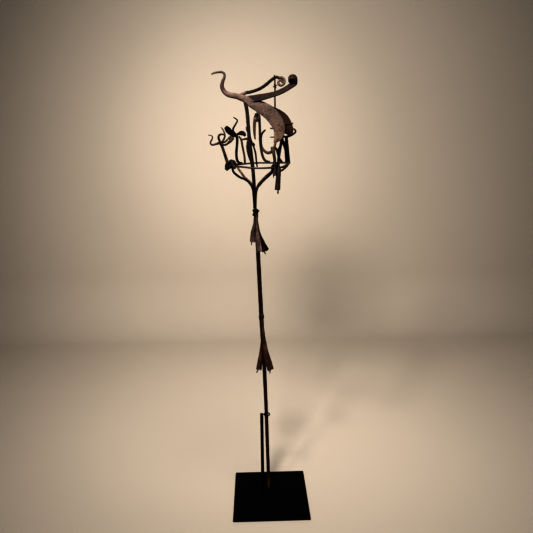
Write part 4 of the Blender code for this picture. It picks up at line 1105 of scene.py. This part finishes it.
def tie_wire_piece():
    """Two wires twisted together, tied with a knot, from the far wing to the tail."""
    mesh = bmesh.new()
    path = curve_through(TIE_PATH, 0.8) * MM
    for phase in (0.0, math.pi):
        rows = []
        for x, y, z in path:
            turn = z / TIE_LAY * 2 * math.pi + phase
            rows.append((
                x + TIE_OFF_AXIS * math.cos(turn), y + TIE_OFF_AXIS * math.sin(turn), z,
                TIE_STRAND, TIE_STRAND
            ))
        draw_out(mesh, rows, 8, face=AWAY)
    for stations in TIE_KNOT:
        draw_out(mesh, stroke((0, 0, 0), stations, 0.8), 8, face=AWAY)
    forged(mesh, "tie_wire", "tie wire", WIRE_IRON)


# Stand

def box_piece(node, low, high):
    """A plate or bar with rounded edges."""
    mesh = bmesh.new()
    size = Matrix.Diagonal((*(high - low), 1.0))
    bmesh.ops.create_cube(mesh, size=1.0, matrix=Matrix.Translation((low + high) / 2) @ size)
    bmesh.ops.bevel(
        mesh, geom=mesh.edges[:], offset=STAND_EDGE, offset_type="OFFSET", segments=3, profile=0.5,
        affect="EDGES", material=-1
    )
    piece = raw_piece(mesh, title_of(node))
    piece.data.shade_smooth()
    piece.data.set_sharp_from_angle(angle=math.radians(40))
    stands_for(piece, node, STAND_PAINT)


def ring_piece():
    """The ring that steadies the shaft, with its link to the bar."""
    low, high = RING_LOW, RING_HIGH
    reach = (high.y - low.y) / 2 - RING_WIRE / 2
    middle = Vector((high.x - RING_WIRE / 2 - reach, (low.y + high.y) / 2, (low.z + high.z) / 2))
    rows = []
    for step in range(RING_STEPS):
        turn = 2 * math.pi * step / RING_STEPS
        x, y = reach * math.cos(turn), reach * math.sin(turn)
        rows.append((middle.x + x, middle.y + y, middle.z + y * math.tan(RING_TILT), RING_WIRE, RING_WIRE))
    mesh = bmesh.new()
    draw_out(mesh, rows, 12, closed=True, across=UP)
    link = [(x, middle.y, middle.z, RING_WIRE, RING_WIRE) for x in (low.x + 0.0001, middle.x - reach)]
    draw_out(mesh, curve_through(link, 0.001), 12, across=AWAY)
    forged(mesh, "stand_ring", "stand ring", STAND_PAINT)


shaft_piece()
hoop_piece()
for arm in ARMS:
    arm_piece(arm)
top_bird_piece()
for number, (angle, strokes) in enumerate(RING_BIRDS, 1):
    small_bird_piece(number, angle, strokes)
for bell in BELLS:
    bell_piece(bell)
bindings()
tie_wire_piece()
for node, corners in STAND_BOXES.items():
    box_piece(node, *corners)
ring_piece()


# Floor, light and camera

def backdrop():
    """A floor that sweeps up into a wall, well behind the staff."""
    mesh = bmesh.new()
    front = [mesh.verts.new((side * SWEEP_HALF, SWEEP_FRONT, 0.0)) for side in (-1, 1)]
    edges = [mesh.edges.new(front)]
    profile = [Vector((0.0, SWEEP_WALL - SWEEP_BEND, 0.0))]
    for angle in range(6, 91, 6):
        turn = math.radians(angle)
        profile.append(Vector((
            0.0, SWEEP_WALL - SWEEP_BEND + SWEEP_BEND * math.sin(turn),
            SWEEP_BEND - SWEEP_BEND * math.cos(turn)
        )))
    profile.append(Vector((0.0, SWEEP_WALL, SWEEP_HEIGHT)))
    last = Vector((0.0, SWEEP_FRONT, 0.0))
    for point in profile:
        made = bmesh.ops.extrude_edge_only(mesh, edges=edges)["geom"]
        fresh = [item for item in made if isinstance(item, bmesh.types.BMVert)]
        edges = [
            item for item in made
            if isinstance(item, bmesh.types.BMEdge) and set(fresh).issuperset(item.verts)
        ]
        bmesh.ops.translate(mesh, verts=fresh, vec=point - last)
        last = point
    sweep = raw_piece(mesh, "Backdrop")
    sweep.data.shade_smooth()
    sweep.data.materials.append(backdrop_paper("Backdrop paper"))


def lamp(name, place, aim, cone, power, soft):
    """A round pool of light from a place towards a point, whose lamp the camera doesn't see."""
    data = bpy.data.lights.new(name, "SPOT")
    data.energy = power
    data.color = LAMP_COLOUR
    data.spot_size = math.radians(cone)
    data.spot_blend = 1.0
    data.shadow_soft_size = soft
    made = bpy.data.objects.new(name, data)
    made.location = place
    made.rotation_mode = "QUATERNION"
    made.rotation_quaternion = (Vector(aim) - Vector(place)).to_track_quat("-Z", "Y")
    made.visible_camera = False
    bpy.context.scene.collection.objects.link(made)


def lighting():
    """The room's lamps, high on the front left and above the floor, and a little light from all sides."""
    for row in LAMPS:
        lamp(*row)
    world = bpy.data.worlds.new("Soft light")
    bpy.context.scene.world = world
    world.use_nodes = True
    background = world.node_tree.nodes["Background"]
    background.inputs["Color"].default_value = (*ROOM_COLOUR, 1.0)
    background.inputs["Strength"].default_value = ROOM_STRENGTH


def camera():
    """The photograph's camera, fitted to the plate and the staff."""
    heading = Vector((math.sin(CAMERA_AZIMUTH), math.cos(CAMERA_AZIMUTH), 0.0))
    forward = heading * math.cos(CAMERA_PITCH) - UP * math.sin(CAMERA_PITCH)
    right = Vector((math.cos(CAMERA_AZIMUTH), -math.sin(CAMERA_AZIMUTH), 0.0))
    over = right.cross(forward)
    rolled_right = right * math.cos(CAMERA_ROLL) + over * math.sin(CAMERA_ROLL)
    rolled_over = over * math.cos(CAMERA_ROLL) - right * math.sin(CAMERA_ROLL)
    data = bpy.data.cameras.new("Camera")
    data.sensor_width = 36.0
    data.lens = 36.0 * FOCAL_PIXELS / IMAGE_PIXELS
    data.clip_end = 50.0
    made = bpy.data.objects.new("Camera", data)
    made.matrix_world = Matrix((rolled_right, rolled_over, -forward)).transposed().to_4x4()
    made.location = -heading * CAMERA_DISTANCE + right * CAMERA_SHIFT + UP * CAMERA_HEIGHT
    bpy.context.scene.collection.objects.link(made)
    bpy.context.scene.camera = made


backdrop()
lighting()
camera()
bpy.context.scene.view_settings.view_transform = "Standard"
bpy.context.scene.view_settings.gamma = 0.5
